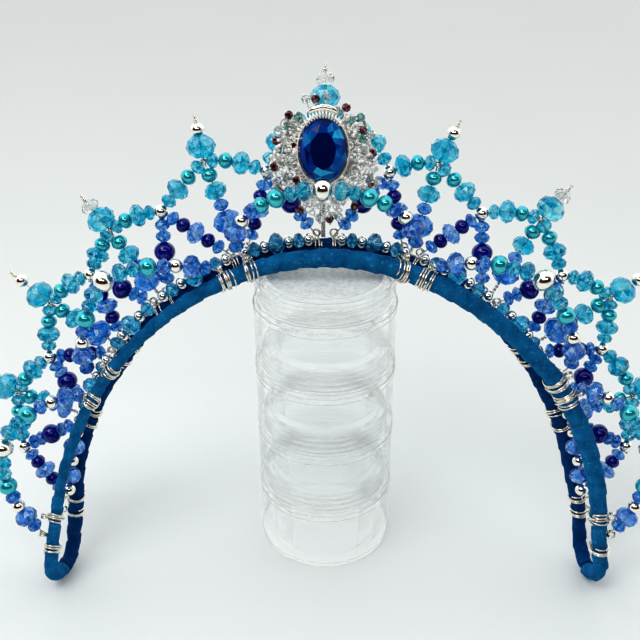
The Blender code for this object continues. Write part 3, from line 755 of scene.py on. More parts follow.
class Bench:
    """A piece that grows from beads, wires and other shapes, in millimetres."""

    TILT_MOST = 8.0
    HALF_STEP = 0.5
    COIL_STEPS = 12
    COIL_UNEVEN = 0.08
    COIL_WAVE = 0.37
    COIL_SIDE = (0.31, 0.9, 0.28)

    def __init__(self, name: str) -> None:
        """Start an empty piece.

        Args:
            name: The piece's name, which also seeds its small irregularities.
        """
        self.name = name
        self.shape = bmesh.new()
        self.facet = self.shape.faces.layers.float.new("facet")
        self.looks: list[Look] = []
        self.chance = random.Random(name)

    def add(self, data: Mesh, place: Matrix, look: Look) -> None:
        """Add a copy of a mesh.

        Args:
            data: The mesh to copy.
            place: Where it goes.
            look: Its finish.
        """
        if look not in self.looks:
            self.looks.append(look)
        first_vert, first_face = len(self.shape.verts), len(self.shape.faces)
        self.shape.from_mesh(data)
        self.shape.verts.ensure_lookup_table()
        self.shape.faces.ensure_lookup_table()
        bmesh.ops.transform(self.shape, matrix=place, verts=self.shape.verts[first_vert:])
        self.facet = self.shape.faces.layers.float["facet"]
        slot = self.looks.index(look)
        for face in self.shape.faces[first_face:]:
            face.material_index = slot
            # Each face gets a random tone that cut glass maps to its painted reflections and glints.
            face[self.facet] = max(0.0, face[self.facet] + self.chance.random())

    def wire(
        self,
        path: Array,
        radius: Sequence[float] | float,
        look: Look = Look.SILVER_WIRE,
        sides: int = 6,
    ) -> None:
        """Add a round wire.

        Args:
            path: Its centreline.
            radius: Its radius, or one for each point.
            look: Its finish.
            sides: Its sides.
        """
        data = as_mesh(smooth(swept(path, radius, sides)), "wire")
        self.add(data, Matrix.Identity(4), look)
        bpy.data.meshes.remove(data)

    def bead(
        self, bead: Bead, point: Array, along: Array, scale: float = 1.0, flat: float = 1.0
    ) -> None:
        """Thread one bead.

        Args:
            bead: Its kind.
            point: Its middle.
            along: The wire's direction there.
            scale: Its size against its kind's.
            flat: Its length along the wire against its kind's.
        """
        turn = Vector((0.0, 0.0, 1.0)).rotation_difference(Vector(along)).to_matrix().to_4x4()
        spin = Matrix.Rotation(self.chance.uniform(0.0, math.tau), 4, "Z")
        tilt = Matrix.Rotation(math.radians(self.chance.uniform(-self.TILT_MOST, self.TILT_MOST)), 4, "X")
        size = Matrix.Diagonal((scale, scale, scale * flat, 1.0))
        place = Matrix.Translation(Vector(point)) @ turn @ spin @ tilt @ size
        self.add(CUTTER.mesh(bead), place, bead.value.look)

    def thread(self, path: Array, beads: Sequence[Bead], start: float, room: float) -> None:
        """Thread beads along a path, pressed together where the room is short.

        Args:
            path: The wire's centreline.
            beads: The kinds in their order.
            start: The distance of the first bead's edge from the path's start.
            room: The length that the beads may take.
        """
        total = strung_length(beads)
        squeeze = min(1.0, room / total)
        step = max(0.0, room - total) / len(beads)
        for bead in beads:
            length = bead.value.length * squeeze
            least = CUT_LEAST if bead.value.form is Form.CUT else ROUND_LEAST
            middle = start + (length + step) / 2
            points = at_distances(path, [middle - self.HALF_STEP, middle, middle + self.HALF_STEP])
            self.bead(bead, points[1], unit(points[2] - points[0]), flat=max(squeeze, least))
            start += length + step

    def coil(self, middle: Array, along: Sequence[float] | Array, coil: Coil) -> None:
        """Wind a small coil of binding wire.

        Args:
            middle: The coil's middle.
            along: Its axis.
            coil: Its sizes.
        """
        axis = unit(np.asarray(along, float))
        side = unit(np.cross(axis, self.COIL_SIDE))
        other = np.cross(axis, side)
        phase = self.chance.uniform(0.0, math.tau)
        angles = np.linspace(0.0, math.tau * coil.turns, int(self.COIL_STEPS * coil.turns) + 1)
        size = coil.radius * (1.0 + self.COIL_UNEVEN * np.sin(angles * self.COIL_WAVE + phase))
        lift = (angles / math.tau - coil.turns / 2) * coil.pitch
        line = middle + lift[:, None] * axis
        self.wire(around(line, side, other, size, angles + phase), BINDING_RADIUS)

    def piece(self, space: Matrix, nodes: Iterable[str] = ()) -> None:
        """Finish the piece: place its mesh, give it its finishes and let it ride on the body.

        Args:
            space: The matrix from the bench's millimetres to the frame.
            nodes: The nodes that it stands for.
        """
        bmesh.ops.transform(self.shape, matrix=space, verts=self.shape.verts)
        finish_piece(as_mesh(self.shape, self.name), self.name, self.looks, nodes)


def finish_piece(data: Mesh, name: str, looks: Sequence[Look], nodes: Iterable[str]) -> None:
    """Link a mesh that is already in place as a piece of the object.

    Args:
        data: The mesh, in metres in the frame.
        name: The piece's name.
        looks: Its finishes, in the order of its material numbers.
        nodes: The nodes that it stands for.
    """
    for look in looks:
        data.materials.append(material_of(look))
    obj = bpy.data.objects.new(name, data)
    bpy.context.scene.collection.objects.link(obj)
    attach(obj, BODY)
    named = list(nodes)
    if named:
        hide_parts(*named)
    log.info("%s: %d faces, stands for %s", name, len(data.polygons), named or "nothing")


def stack_foot() -> Vector:
    """The foot of the stack's axis, from the first jar's place in the frame."""
    low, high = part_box("jar_1")
    return Vector(((low.x + high.x) / 2, (low.y + high.y) / 2, low.z))


@dataclass(frozen=True)
class Arch:
    """One band's outline: a flattened ellipse standing on the floor."""

    half_width: float
    height: float
    x_power: float = 1.9
    z_power: float = 2.3
    probe: float = 0.2

    def point(self, degrees: float) -> Pair:
        """x and z at an angle from the top, positive to the right."""
        angle = math.radians(degrees)
        across = abs(math.sin(angle)) ** (2.0 / self.x_power)
        up = abs(math.cos(angle)) ** (2.0 / self.z_power)
        return math.copysign(self.half_width * across, angle), self.height * up

    def outward(self, degrees: float) -> Pair:
        """Unit normal away from the head, square to the outline."""
        x0, z0 = self.point(degrees - self.probe)
        x1, z1 = self.point(degrees + self.probe)
        length = math.hypot(x1 - x0, z1 - z0)
        return -(z1 - z0) / length, (x1 - x0) / length


@dataclass(frozen=True)
class Bend:
    """A stretch of a band that hand bending and tight winding moved and thinned."""

    band: str
    degrees: float
    reach: float
    out: float
    grow: float


@dataclass(frozen=True)
class Headspace:
    """The leaning frame of the headpiece, with the bands' outlines and the fan's depth in it."""

    lean: float = 14.5
    foot_before_stand: float = 29.0
    front: Arch = Arch(80.0, 99.2)
    rear: Arch = Arch(76.5, 101.0)
    depth_top: float = 8.0
    depth_foot: float = 13.0
    top_radius: float = 2.6
    foot_radius: float = 2.1
    rear_slimmer: float = 0.2
    base_degrees: tuple[float, ...] = (0.0, 18.3, 36.2, 48.6, 63.5, 80.0)
    centre_shift: float = -0.55
    bends: tuple[Bend, ...] = (
        Bend("front", -46.0, 34.0, out=-1.0, grow=-0.85),
        Bend("front", 56.0, 17.0, out=1.2, grow=0.25),
        Bend("rear", 78.0, 9.0, out=1.0, grow=-0.1),
        Bend("rear", -58.0, 12.0, out=0.2, grow=-0.5),
    )

    def bend(self, band: str, x: float, z: float) -> Pair:
        """How far hand bending moves a band outward at a place, and how much it thickens it there.

        Args:
            band: The band, front or rear.
            x: The place's x.
            z: The place's z.

        Returns:
            Both amounts in millimetres.
        """
        degrees = math.degrees(math.atan2(x, z))
        out = grow = 0.0
        for bend in self.bends:
            if bend.band == band:
                share = math.exp(-(((degrees - bend.degrees) / bend.reach) ** 4))
                out += share * bend.out
                grow += share * bend.grow
        return out, grow

    def matrix(self) -> Matrix:
        """From the headpiece's upright millimetres to the frame."""
        foot = stack_foot().y - self.foot_before_stand * MM
        lean = Matrix.Rotation(-math.radians(self.lean), 4, "X")
        return Matrix.Translation((0.0, foot, 0.0)) @ lean @ Matrix.Scale(MM, 4)

    def depth(self, z: float) -> float:
        """How far behind the front band the fan and the rear band lie at a height."""
        share = min(max(1.0 - z / self.rear.height, 0.0), 1.0)
        return self.depth_top + (self.depth_foot - self.depth_top) * share

    def fan(self, place: Pair, side: int = 1) -> Array:
        """A point of the fan from its x and z, mirrored for side -1."""
        return np.array([side * place[0], self.depth(place[1]), place[1]])

    def radius(self, z: float) -> float:
        """The front band's radius at a height."""
        share = min(max(z / self.front.height, 0.0), 1.0)
        return self.foot_radius + (self.top_radius - self.foot_radius) * share

    def rear_radius(self, z: float) -> float:
        """The rear band's radius at a height."""
        return self.radius(z) - self.rear_slimmer * z / self.front.height

    def base(self, degrees: float, shift: float = 0.0, gap: float = STRING_SEAT) -> Array:
        """A string's foot on the rear band.

        Args:
            degrees: Its angle from the top.
            shift: How far it is moved along the band.
            gap: Its distance from the cloth.

        Returns:
            The point.
        """
        x, z = self.rear.point(degrees)
        out_x, out_z = self.rear.outward(degrees)
        stand_off = self.rear_radius(z) + gap
        return self.fan((x + out_x * stand_off + out_z * shift, z + out_z * stand_off - out_x * shift))


def side_name(stem: str, number: int, side: int) -> str:
    """A piece's name with its number and side."""
    return f"{stem}_{number}_{SIDE_NAMES[side]}"


HEAD = Headspace()
SPACE = HEAD.matrix()
CENTRE_SPACE = SPACE @ Matrix.Translation((HEAD.centre_shift, 0.0, 0.0))


@dataclass
class Bands:
    """The two arches of stiff wire, each wound with bias tape."""

    sides: int = 28
    ring_step: float = 0.4
    tape_pitch: float = 5.6
    lap: float = 0.34
    lap_edge: float = 0.1
    lump: float = 0.22
    lump_size: float = 6.0
    crease: float = 0.12
    crease_rate: float = 0.9
    mark_slack: float = 0.001
    arch_end: float = 89.0
    arch_samples: int = 90
    path_samples: int = 600
    turn_samples: int = 46
    end_gap: float = 0.44
    foot_forward: float = 4.0
    foot_bend_height: float = 30.0

    def half(self, arch: Arch, depth_top: float, depth_foot: float) -> Array:
        """The right half of a band's centreline, from the top down to its leg."""
        points = []
        for degrees in np.linspace(0.0, self.arch_end, self.arch_samples):
            x, z = arch.point(degrees)
            share = 1.0 - z / arch.height
            points.append((x, depth_top + (depth_foot - depth_top) * share, z))
        return np.array(points)

    def paths(self) -> list[Array]:
        """Centrelines of both bands, which share a round turn at each foot.

        Returns:
            The front band's and the rear band's.
        """
        lean = math.radians(HEAD.lean)
        gap_x = HEAD.front.half_width - HEAD.rear.half_width
        turn_radius = math.hypot(gap_x, HEAD.depth_foot / math.cos(lean)) / 2
        leg_end = (turn_radius + HEAD.foot_radius) / math.cos(lean)
        rear_leg_end = leg_end + HEAD.depth_foot * math.tan(lean)
        front = self.half(HEAD.front, 0.0, 0.0)
        rear = self.half(HEAD.rear, HEAD.depth_top, HEAD.depth_foot)
        front_end = np.array([HEAD.front.half_width, 0.0, leg_end])
        rear_end = np.array([HEAD.rear.half_width, HEAD.depth_foot, rear_leg_end])
        middle = (front_end + rear_end) / 2
        down = np.array([0.0, math.sin(lean), -math.cos(lean)])
        whole = []
        for half, end, low in ((front, front_end, leg_end), (rear, rear_end, rear_leg_end)):
            quarter = np.radians(np.linspace(0.0, 90.0, self.turn_samples))[:, None]
            turn = middle + np.cos(quarter) * (end - middle) + np.sin(quarter) * turn_radius * down
            path = np.vstack([half[half[:, 2] > low], turn])
            stop = lengths_along(path)[-1] - self.end_gap / 2
            path = at_distances(path, np.linspace(0.0, stop, self.path_samples))
            left = path[::-1] * np.array([-1.0, 1.0, 1.0])
            whole.append(np.vstack([left[:-1], path]))
        return [self.bent(path, band) for path, band in zip(whole, ("front", "rear"))]

    def bent(self, path: Array, band: str) -> Array:
        """A band's centreline after its bends."""
        tangents = np.gradient(path, axis=0)
        outward = np.column_stack([-tangents[:, 2], np.zeros(len(tangents)), tangents[:, 0]])
        outward /= np.maximum(np.linalg.norm(outward, axis=1), 1e-6)[:, None]
        moves = np.array([HEAD.bend(band, x, z)[0] for x, z in path[:, [0, 2]]])
        low = np.clip(1.0 - path[:, 2] / self.foot_bend_height, 0.0, 1.0) ** 2
        forward = np.outer(low, (0.0, -self.foot_forward, 0.0))
        return path + moves[:, None] * outward + forward

    def wind(self, shape: BMesh, path: Array, band: str) -> None:
        """Push the plain tube out to the tape's laps and lumps, and lay its UV map.

        Args:
            shape: The tube, in millimetres.
            path: Its centreline.
            band: The band, front or rear.
        """
        plain = HEAD.radius if band == "front" else HEAD.rear_radius
        along = shape.verts.layers.float["along"]
        around = shape.verts.layers.float.new("around")
        marks = lengths_along(path)
        frames = frames_along(path)
        for vert in shape.verts:
            place = frames[int(np.searchsorted(marks, vert[along] - self.mark_slack))]
            local = place.inverted() @ vert.co
            angle = math.atan2(local.y, local.x) % math.tau
            vert[around] = angle / math.tau
            share = (vert[along] / self.tape_pitch + vert[around]) % 1.0
            climb = 1.0 - self.lap_edge
            ramp = share / climb if share < climb else (1.0 - share) / self.lap_edge
            lump = noise.noise(Vector(vert.co) / self.lump_size)
            crease = noise.noise(Vector(vert.co) * self.crease_rate)
            grow = self.lap * (ramp - 0.5) + self.lump * lump + self.crease * crease
            spot = place.translation
            radius = plain(spot.z) + HEAD.bend(band, spot.x, spot.z)[1] + grow
            vert.co = place @ (Vector((math.cos(angle), math.sin(angle), 0.0)) * radius)
        layer = shape.loops.layers.uv.new("tape")
        for face in smooth(shape).faces:
            turns = [loop.vert[around] for loop in face.loops]
            wraps = max(turns) - min(turns) > 0.5
            for loop, turn in zip(face.loops, turns):
                whole = turn + 1.0 if wraps and turn < 0.5 else turn
                loop[layer].uv = (whole * math.tau * HEAD.top_radius, loop.vert[along])

    def build(self) -> None:
        """Make both bands."""
        front, rear = self.paths()
        # The rear band takes the same tape painted darker, a painted shade for where it sits behind the front
        # band.
        for band, path, look in (("front", front, Look.TAPE), ("rear", rear, Look.PAINTED_SHADE_TAPE)):
            name = f"{band}_band"
            count = int(lengths_along(path)[-1] / self.ring_step)
            fine = at_distances(path, np.linspace(0.0, lengths_along(path)[-1], count))
            shape = swept(fine, 1.0, self.sides)
            self.wind(shape, fine, band)
            bmesh.ops.transform(shape, matrix=SPACE, verts=shape.verts)
            finish_piece(as_mesh(shape, name), f"{name}_tape", [look], [name])


@dataclass(frozen=True)
class FanPoint:
    """One point of the fan: its joint, its tip bead's place and what the tip bead is."""

    joint: Pair
    tip: Pair
    tip_bead: Bead


@dataclass(frozen=True)
class Lean:
    """How far a hand-bent joint stands off the even fan, outward and up."""

    out: float = 0.0
    up: float = 0.0


@dataclass
class Fan:
    """The fan of bead strings that stands on the rear band."""

    points: tuple[FanPoint, ...] = (
        FanPoint((0.0, 137.1), (0.0, 146.6), Bead.CLEAR_5),
        FanPoint((32.4, 124.0), (34.6, 132.6), Bead.SILVER_4),
        FanPoint((59.0, 107.2), (65.0, 114.3), Bead.CLEAR_5),
        FanPoint((78.7, 85.3), (86.4, 91.2), Bead.SILVER_4),
        FanPoint((89.3, 56.7), (97.0, 61.5), Bead.CLEAR_5),
    )
    valleys: tuple[Pair, ...] = ((18.4, 121.8), (44.0, 110.6), (66.0, 93.2), (79.2, 70.2), (89.2, 40.5))
    joint_leans: tuple[tuple[Lean, ...], tuple[Lean, ...]] = (
        (Lean(), Lean(-2.0, -0.6), Lean(0.0, 1.2), Lean(1.4, 0.9), Lean()),
        (Lean(), Lean(0.3, 0.2), Lean(0.0, -1.9), Lean(-1.5, -0.7), Lean(-0.3, 1.0)),
    )
    tip_leans: tuple[tuple[Lean, ...], tuple[Lean, ...]] = (
        (Lean(), Lean(0.2, -0.3), Lean(0.2, 1.2), Lean(1.8, 0.8), Lean()),
        (Lean(), Lean(-0.2, 0.8), Lean(-0.2, -1.6), Lean(-0.9, 0.6), Lean(-0.3, 1.0)),
    )
    valley_leans: tuple[tuple[Lean, ...], tuple[Lean, ...]] = (
        (Lean(-1.0, -0.6), Lean(-1.2, -0.6), Lean(0.0, -0.5), Lean(-0.2, 1.0), Lean(-0.3, 0.4)),
        (Lean(-2.6, -0.6), Lean(0.8, 0.0), Lean(-0.6, -0.2), Lean(-0.2, -1.4), Lean(-0.2, 0.4)),
    )
    edge_beads: tuple[Bead, ...] = (Bead.TEAL_4, Bead.PEARL_4, Bead.TEAL_6, Bead.TEAL_4)
    short_edge_beads: tuple[Bead, ...] = (Bead.TEAL_4, Bead.PEARL_4, Bead.TEAL_6)
    centre_beads: tuple[Bead, ...] = (Bead.PEARL_4, Bead.TEAL_6, Bead.BLUE_4, Bead.BLUE_8)
    outer_centre_beads: tuple[Bead, ...] = (Bead.PEARL_4, Bead.TEAL_6, Bead.BLUE_4, Bead.PALE_6)
    even_beads: tuple[Bead, ...] = (Bead.BLUE_4, Bead.BLUE_4, Bead.NAVY_6, Bead.BLUE_4, Bead.BLUE_4)
    odd_beads: tuple[Bead, ...] = (Bead.BLUE_4, Bead.NAVY_4, Bead.PALE_6, Bead.NAVY_4, Bead.BLUE_4)
    top_beads: tuple[Bead, ...] = (Bead.TEAL_4, Bead.TEAL_4, Bead.PEARL_4, Bead.TEAL_6, Bead.TEAL_4)
    top_bows: Pair = (3.2, 4.0)
    top_lead: float = 1.5
    top_loss: float = 1.6
    edge_lead: float = 0.7
    base_spread: float = 2.4
    base_lead: float = 2.8
    turn_lead: float = 0.2
    centre_lead: float = 1.9
    centre_slack: float = 1.0
    centre_twist: float = 3.6
    tip_gap: float = 0.9
    tip_twist: Pair = (0.6, 3.0)
    inner_bow: float = 1.3
    outer_bow: float = 0.5
    heart: Pair = (0.0, 40.0)
    straight_points: int = 7
    bow_points: int = 15
    twist_radius: float = 0.3
    tip_twist_radius: float = 0.24
    twist_pitch: float = 2.2
    twist_steps: int = 10
    twist_side: Triple = (0.2, 1.0, 0.1)
    joint_coil: Coil = Coil(0.75, 2.2, 0.45)
    valley_coil: Coil = Coil(0.7, 2.0, 0.4)
    valley_coil_drop: float = 1.6
    valley_coil_axis: Triple = (0.4, 0.2, 1.0)
    tip_coil: Coil = Coil(0.42, 2.0, 0.4)
    tip_coil_at: float = 1.3

    def leant(self, place: Pair, leans: tuple[tuple[Lean, ...], ...], number: int, side: int) -> Array:
        """Move a place of the fan by its side's lean.

        Args:
            place: The even fan's x and z.
            leans: The leans of the right side and of the left side.
            number: The place's number from the middle.
            side: 1 on the right, -1 on the left.

        Returns:
            The place.
        """
        lean = leans[side < 0][number]
        return HEAD.fan((place[0] + lean.out, place[1] + lean.up), side)

    def joint(self, number: int, side: int) -> Array:
        """A point's joint on one side."""
        return self.leant(self.points[number].joint, self.joint_leans, number, side)

    def tip_place(self, number: int, side: int) -> Array:
        """A point's tip bead on one side."""
        return self.leant(self.points[number].tip, self.tip_leans, number, side)

    def valley(self, number: int, side: int) -> Array:
        """A valley's silver bead on one side."""
        return self.leant(self.valleys[number], self.valley_leans, number, side)

    def straight(self, start: Array, end: Array) -> Array:
        """A straight stretch of wire as a few points."""
        return np.linspace(start, end, self.straight_points)

    def bowed(self, start: Array, end: Array, bow: float) -> Array:
        """A stretch of wire that its beads push outward from the headpiece's middle.

        Args:
            start: Its first point.
            end: Its last point.
            bow: How far its middle is pushed.

        Returns:
            The points, one in a row.
        """
        run = unit(end - start)
        out = (start + end) / 2 - np.array([self.heart[0], (start[1] + end[1]) / 2, self.heart[1]])
        out = unit(out - run * float(out @ run))
        share = np.linspace(0.0, 1.0, self.bow_points)[:, None]
        return start + share * (end - start) + 4.0 * bow * share * (1.0 - share) * out

    def twist(self, bench: Bench, start: Array, end: Array, radius: float) -> None:
        """Twist two wire ends round each other.

        Args:
            bench: The piece that they belong to.
            start: Where the twist starts.
            end: Where it ends.
            radius: Each wire's distance from the twist's axis.
        """
        length = float(np.linalg.norm(end - start))
        turns = max(length / self.twist_pitch, 1.0)
        axis = unit(end - start)
        side = unit(np.cross(axis, self.twist_side))
        other = np.cross(axis, side)
        share = np.linspace(0.0, 1.0, int(self.twist_steps * turns) + 2)
        angle = share * turns * math.tau
        line = start + share[:, None] * (end - start)
        for phase in (0.0, math.pi):
            path = around(line, side, other, radius, angle + phase)
            bench.wire(path, STRING_WIRE, sides=5)

    def strand(
        self,
        bench: Bench,
        ends: tuple[Array, Array],
        bow: float,
        beads: Sequence[Bead],
        lead: float,
        loss: float,
    ) -> None:
        """Bow a wire from a joint to a valley and thread its beads.

        Args:
            bench: The piece that it belongs to.
            ends: The joint and the valley.
            bow: How far its middle is pushed outward.
            beads: The kinds in their order.
            lead: The distance of the first bead's edge from the joint.
            loss: The length at the joint that the beads can't take.
        """
        path = self.bowed(*ends, bow)
        bench.wire(path, STRING_WIRE)
        room = float(lengths_along(path)[-1]) - loss - Bead.SILVER_4.value.radius
        bench.thread(path, beads, lead, room)

    def edge(self, number: int, side: int) -> None:
        """One string of the zigzag edge, from valley to valley over a point."""
        bench = Bench(side_name("edge_string", number, side) + "_beads")
        joint = self.joint(number, side)
        inner = self.valley(number - 1, side)
        outer = self.valley(number, side)
        for valley, bow, beads in (
            (inner, self.inner_bow, self.short_edge_beads if number * side == 1 else self.edge_beads),
            (outer, self.outer_bow, self.edge_beads),
        ):
            self.strand(bench, (joint, valley), bow, beads, self.edge_lead, self.edge_lead)
        bench.bead(Bead.SILVER_4, outer, unit(outer - joint))
        bench.coil(joint, joint - (inner + outer) / 2, self.joint_coil)
        bench.piece(SPACE, [side_name("edge_string", number, side)])

    def top_edge(self) -> None:
        """The zigzag's middle string, behind the ornament."""
        bench = Bench("edge_string_0_beads")
        joint = self.joint(0, 1)
        for side in (1, -1):
            valley = self.valley(0, side)
            bow = self.top_bows[side < 0]
            self.strand(bench, (joint, valley), bow, self.top_beads, self.top_lead, self.top_loss)
            bench.bead(Bead.SILVER_4, valley, unit(valley - joint))
        bench.piece(SPACE, ["edge_string_0"])

    def centre(self, number: int, side: int) -> None:
        """The string from a point's joint down to the rear band."""
        bench = Bench(side_name("centre_string", number, side) + "_beads")
        joint = self.joint(number, side)
        base = HEAD.base(side * HEAD.base_degrees[number])
        path = self.straight(joint, base)
        beads = self.outer_centre_beads if number == len(self.points) - 1 else self.centre_beads
        room = float(np.linalg.norm(base - joint)) - self.centre_lead - self.centre_twist
        taken = min(room, strung_length(beads) + self.centre_slack)
        bench.wire(path, STRING_WIRE)
        bench.thread(path, beads, self.centre_lead, taken)
        free = self.centre_lead + taken + self.turn_lead
        stub = at_distances(path, [free, lengths_along(path)[-1]])
        self.twist(bench, stub[0], stub[1], self.twist_radius)
        bench.piece(SPACE, [side_name("centre_string", number, side)])

    def legs(self, number: int, side: int) -> None:
        """From a valley, the string that runs down to the bases on both sides of it."""
        bench = Bench(side_name("fan_string", number + 1, side) + "_beads")
        top = self.valley(number, side)
        for base_number, shift in ((number, side * self.base_spread), (number + 1, -side * self.base_spread)):
            foot = HEAD.base(side * HEAD.base_degrees[base_number], shift)
            beads = self.even_beads if base_number % 2 == 0 else self.odd_beads
            start = top + unit(foot - top) * Bead.SILVER_4.value.radius
            path = self.straight(start, foot)
            room = lengths_along(path)[-1] - self.turn_lead - self.base_lead
            bench.wire(path, STRING_WIRE)
            bench.thread(path, beads, self.turn_lead, room)
        across, deep, up = self.valley_coil_axis
        bench.coil(top - (0.0, 0.0, self.valley_coil_drop), (side * across, deep, up), self.valley_coil)
        bench.piece(SPACE, [side_name("fan_string", number + 1, side)])

    def tip(self, number: int, side: int) -> None:
        """The large bead and the tip bead that stand on a joint, with the wire's twisted end."""
        name = side_name("point", number, side) if number else "point_0"
        bench = Bench(name + "_beads")
        point = self.points[number]
        joint, tip = self.joint(number, side), self.tip_place(number, side)
        away = unit(tip - joint)
        large = Bead.TEAL_8.value.length
        bench.wire(self.straight(joint, tip), STRING_WIRE)
        bench.bead(Bead.TEAL_8, joint + (self.tip_gap + large / 2) * away, away)
        bench.bead(point.tip_bead, tip - self.tip_gap * away, away)
        start, end = (tip + reach * away for reach in self.tip_twist)
        self.twist(bench, start, end, self.tip_twist_radius)
        bench.coil(tip + self.tip_coil_at * away, away, self.tip_coil)
        bench.piece(SPACE, [name])

    def build(self) -> None:
        """String the whole fan."""
        self.top_edge()
        self.tip(0, 1)
        for side in (1, -1):
            for number in range(1, len(self.points)):
                self.edge(number, side)
                self.centre(number, side)
                self.tip(number, side)
            for number in range(len(self.valleys)):
                self.legs(number, side)


@dataclass(frozen=True)
class Leg:
    """One side of a small front arch, from its ball down to the front band."""

    foot_degrees: float
    ball_handle: float
    rise: float
    sway: float
    beads: tuple[Bead, ...]


LEG_BEADS = (
    Bead.TEAL_5,
    Bead.TEAL_4,
    Bead.PEARL_5,
    Bead.BLUE_4,
    Bead.SILVER_4,
    Bead.PALE_6,
    Bead.BLUE_4,
)
MIDDLE_LEG_BEADS = LEG_BEADS[:3] + (Bead.PEARL_4,) + LEG_BEADS[3:]


@dataclass
class FrontRow:
    """Five small bead arches on the front band, each over a silver ball."""

    balls: tuple[Pair, ...] = ((0.0, 117.8), (59.6, 93.2), (89.3, 45.4))
    legs: tuple[tuple[Leg, Leg], ...] = (
        (Leg(-15.9, 15.0, 9.5, 6.0, MIDDLE_LEG_BEADS), Leg(15.9, 15.0, 9.5, 6.0, MIDDLE_LEG_BEADS)),
        (Leg(21.0, 8.0, 7.0, -6.0, LEG_BEADS), Leg(52.1, 6.0, 8.0, 0.0, LEG_BEADS)),
        (Leg(55.7, 9.0, 10.0, -6.0, LEG_BEADS), Leg(81.9, 8.0, 8.0, -5.0, LEG_BEADS)),
    )
    ball_leans: tuple[tuple[Lean, ...], tuple[Lean, ...]] = (
        (Lean(-0.7, 0.0), Lean(-2.3, 1.1), Lean(0.0, 1.6)),
        (Lean(0.0, 0.0), Lean(-1.3, 0.8), Lean(-0.4, 1.8)),
    )
    ball_forward: float = 6.0
    handle_forward: float = 2.0
    ball_flat: float = 0.86
    twist: float = 0.6

    def leg_path(self, ball: Array, leg: Leg, away: Array, side: int) -> Array:
        """A leg's curve from its ball to the front band's outer side.

        Args:
            ball: The middle of the ball.
            leg: The leg.
            away: The direction in which the leg leaves the ball.
            side: 1 on the right, -1 on the left.

        Returns:
            The points of the curve.
        """
        degrees = leg.foot_degrees * side
        x, z = HEAD.front.point(degrees)
        out_x, out_z = HEAD.front.outward(degrees)
        out = np.array([out_x, 0.0, out_z])
        foot = np.array([x, 0.0, z]) + (HEAD.radius(z) + STRING_SEAT + sum(HEAD.bend("front", x, z))) * out
        first = ball + leg.ball_handle * away
        second = foot + leg.rise * out + leg.sway * np.array([away[0], 0.0, away[2]])
        second[1] = -self.handle_forward
        return bezier(ball, first, second, foot, count=40)

    def arch(self, number: int, side: int) -> None:
        """One arch: two legs of beads and the ball between them."""
        node = side_name("front_arch", number, side) if number else "front_arch_0"
        bench = Bench(node + "_beads")
        x, z = self.balls[number]
        lean = self.ball_leans[side < 0][number]
        ball = np.array([side * (x + lean.out), -self.ball_forward, z + lean.up])
        pair = self.legs[number]
        feet = [HEAD.front.point(side * leg.foot_degrees) for leg in pair]
        chord = unit(np.array([feet[1][0] - feet[0][0], 0.0, feet[1][1] - feet[0][1]]))
        reach = Bead.SILVER_6.value.radius
        for leg, way in zip(pair, (-1, 1)):
            path = self.leg_path(ball, leg, way * chord, side)
            room = lengths_along(path)[-1] - reach - self.twist
            bench.wire(path, STRING_WIRE)
            bench.thread(path, leg.beads, reach, min(room, strung_length(leg.beads)))
        bench.bead(Bead.SILVER_6, ball, chord, flat=self.ball_flat)
        bench.piece(SPACE, [node])

    def build(self) -> None:
        """String the five arches."""
        for number in range(len(self.balls)):
            for side in (1, -1) if number else (1,):
                self.arch(number, side)


@dataclass
class SpacerChain:
    """The chain of small silver and teal beads in the groove between the bands."""

    start_degrees: float = 1.5
    end_degrees: float = 78.0
    sinks_from: float = 42.0
    rise_top: float = 3.5
    rise_end: float = -0.6
    depth_share: float = 0.56
    beads: tuple[Bead, ...] = (
        Bead.SILVER_3,
        Bead.SHADED_TEAL_4,
        Bead.SILVER_3,
        Bead.SHADED_TEAL_6,
        Bead.SILVER_3,
        Bead.SHADED_TEAL_4,
        Bead.SILVER_3,
    )
    last_beads: tuple[Bead, ...] = (Bead.SILVER_3, Bead.PALE_6, Bead.SILVER_4, Bead.PALE_6, Bead.SILVER_4)
    bay_gap: float = 1.4
    bay_points: int = 12
    least_squeeze: float = 0.86

    def point(self, degrees: float, side: int) -> Triple:
        """The chain's place at an angle from the top."""
        front = HEAD.front.point(side * degrees)
        rear = HEAD.rear.point(side * degrees)
        out = HEAD.front.outward(side * degrees)
        sunk = max(0.0, degrees - self.sinks_from) / (self.end_degrees - self.sinks_from)
        rise = self.rise_top + (self.rise_end - self.rise_top) * sunk
        x = (front[0] + rear[0]) / 2 + rise * out[0]
        z = (front[1] + rear[1]) / 2 + rise * out[1]
        return x, HEAD.depth(z) * self.depth_share, z

    def build(self) -> None:
        """String the chain on both sides, a run of beads in each bay between two bases."""
        for side in (1, -1):
            node = f"spacer_chain_{SIDE_NAMES[side]}"
            bench = Bench(node + "_beads")
            marks = [self.start_degrees, *HEAD.base_degrees[1:-1], self.end_degrees]
            for start, end in zip(marks, marks[1:]):
                path = np.array([self.point(d, side) for d in np.linspace(start, end, self.bay_points)])
                length = lengths_along(path)[-1]
                bench.wire(path, STRING_WIRE)
                beads = self.last_beads if start == marks[-2] else self.beads
                room = length - 2 * self.bay_gap
                while strung_length(beads) * self.least_squeeze > room:
                    beads = beads[1:-1]
                bench.thread(path, beads, self.bay_gap, room)
            bench.piece(SPACE, [node])


CLEAR, PLUM, AQUA = Bead.CLEAR_SEED, Bead.PLUM_SEED, Bead.AQUA_SEED


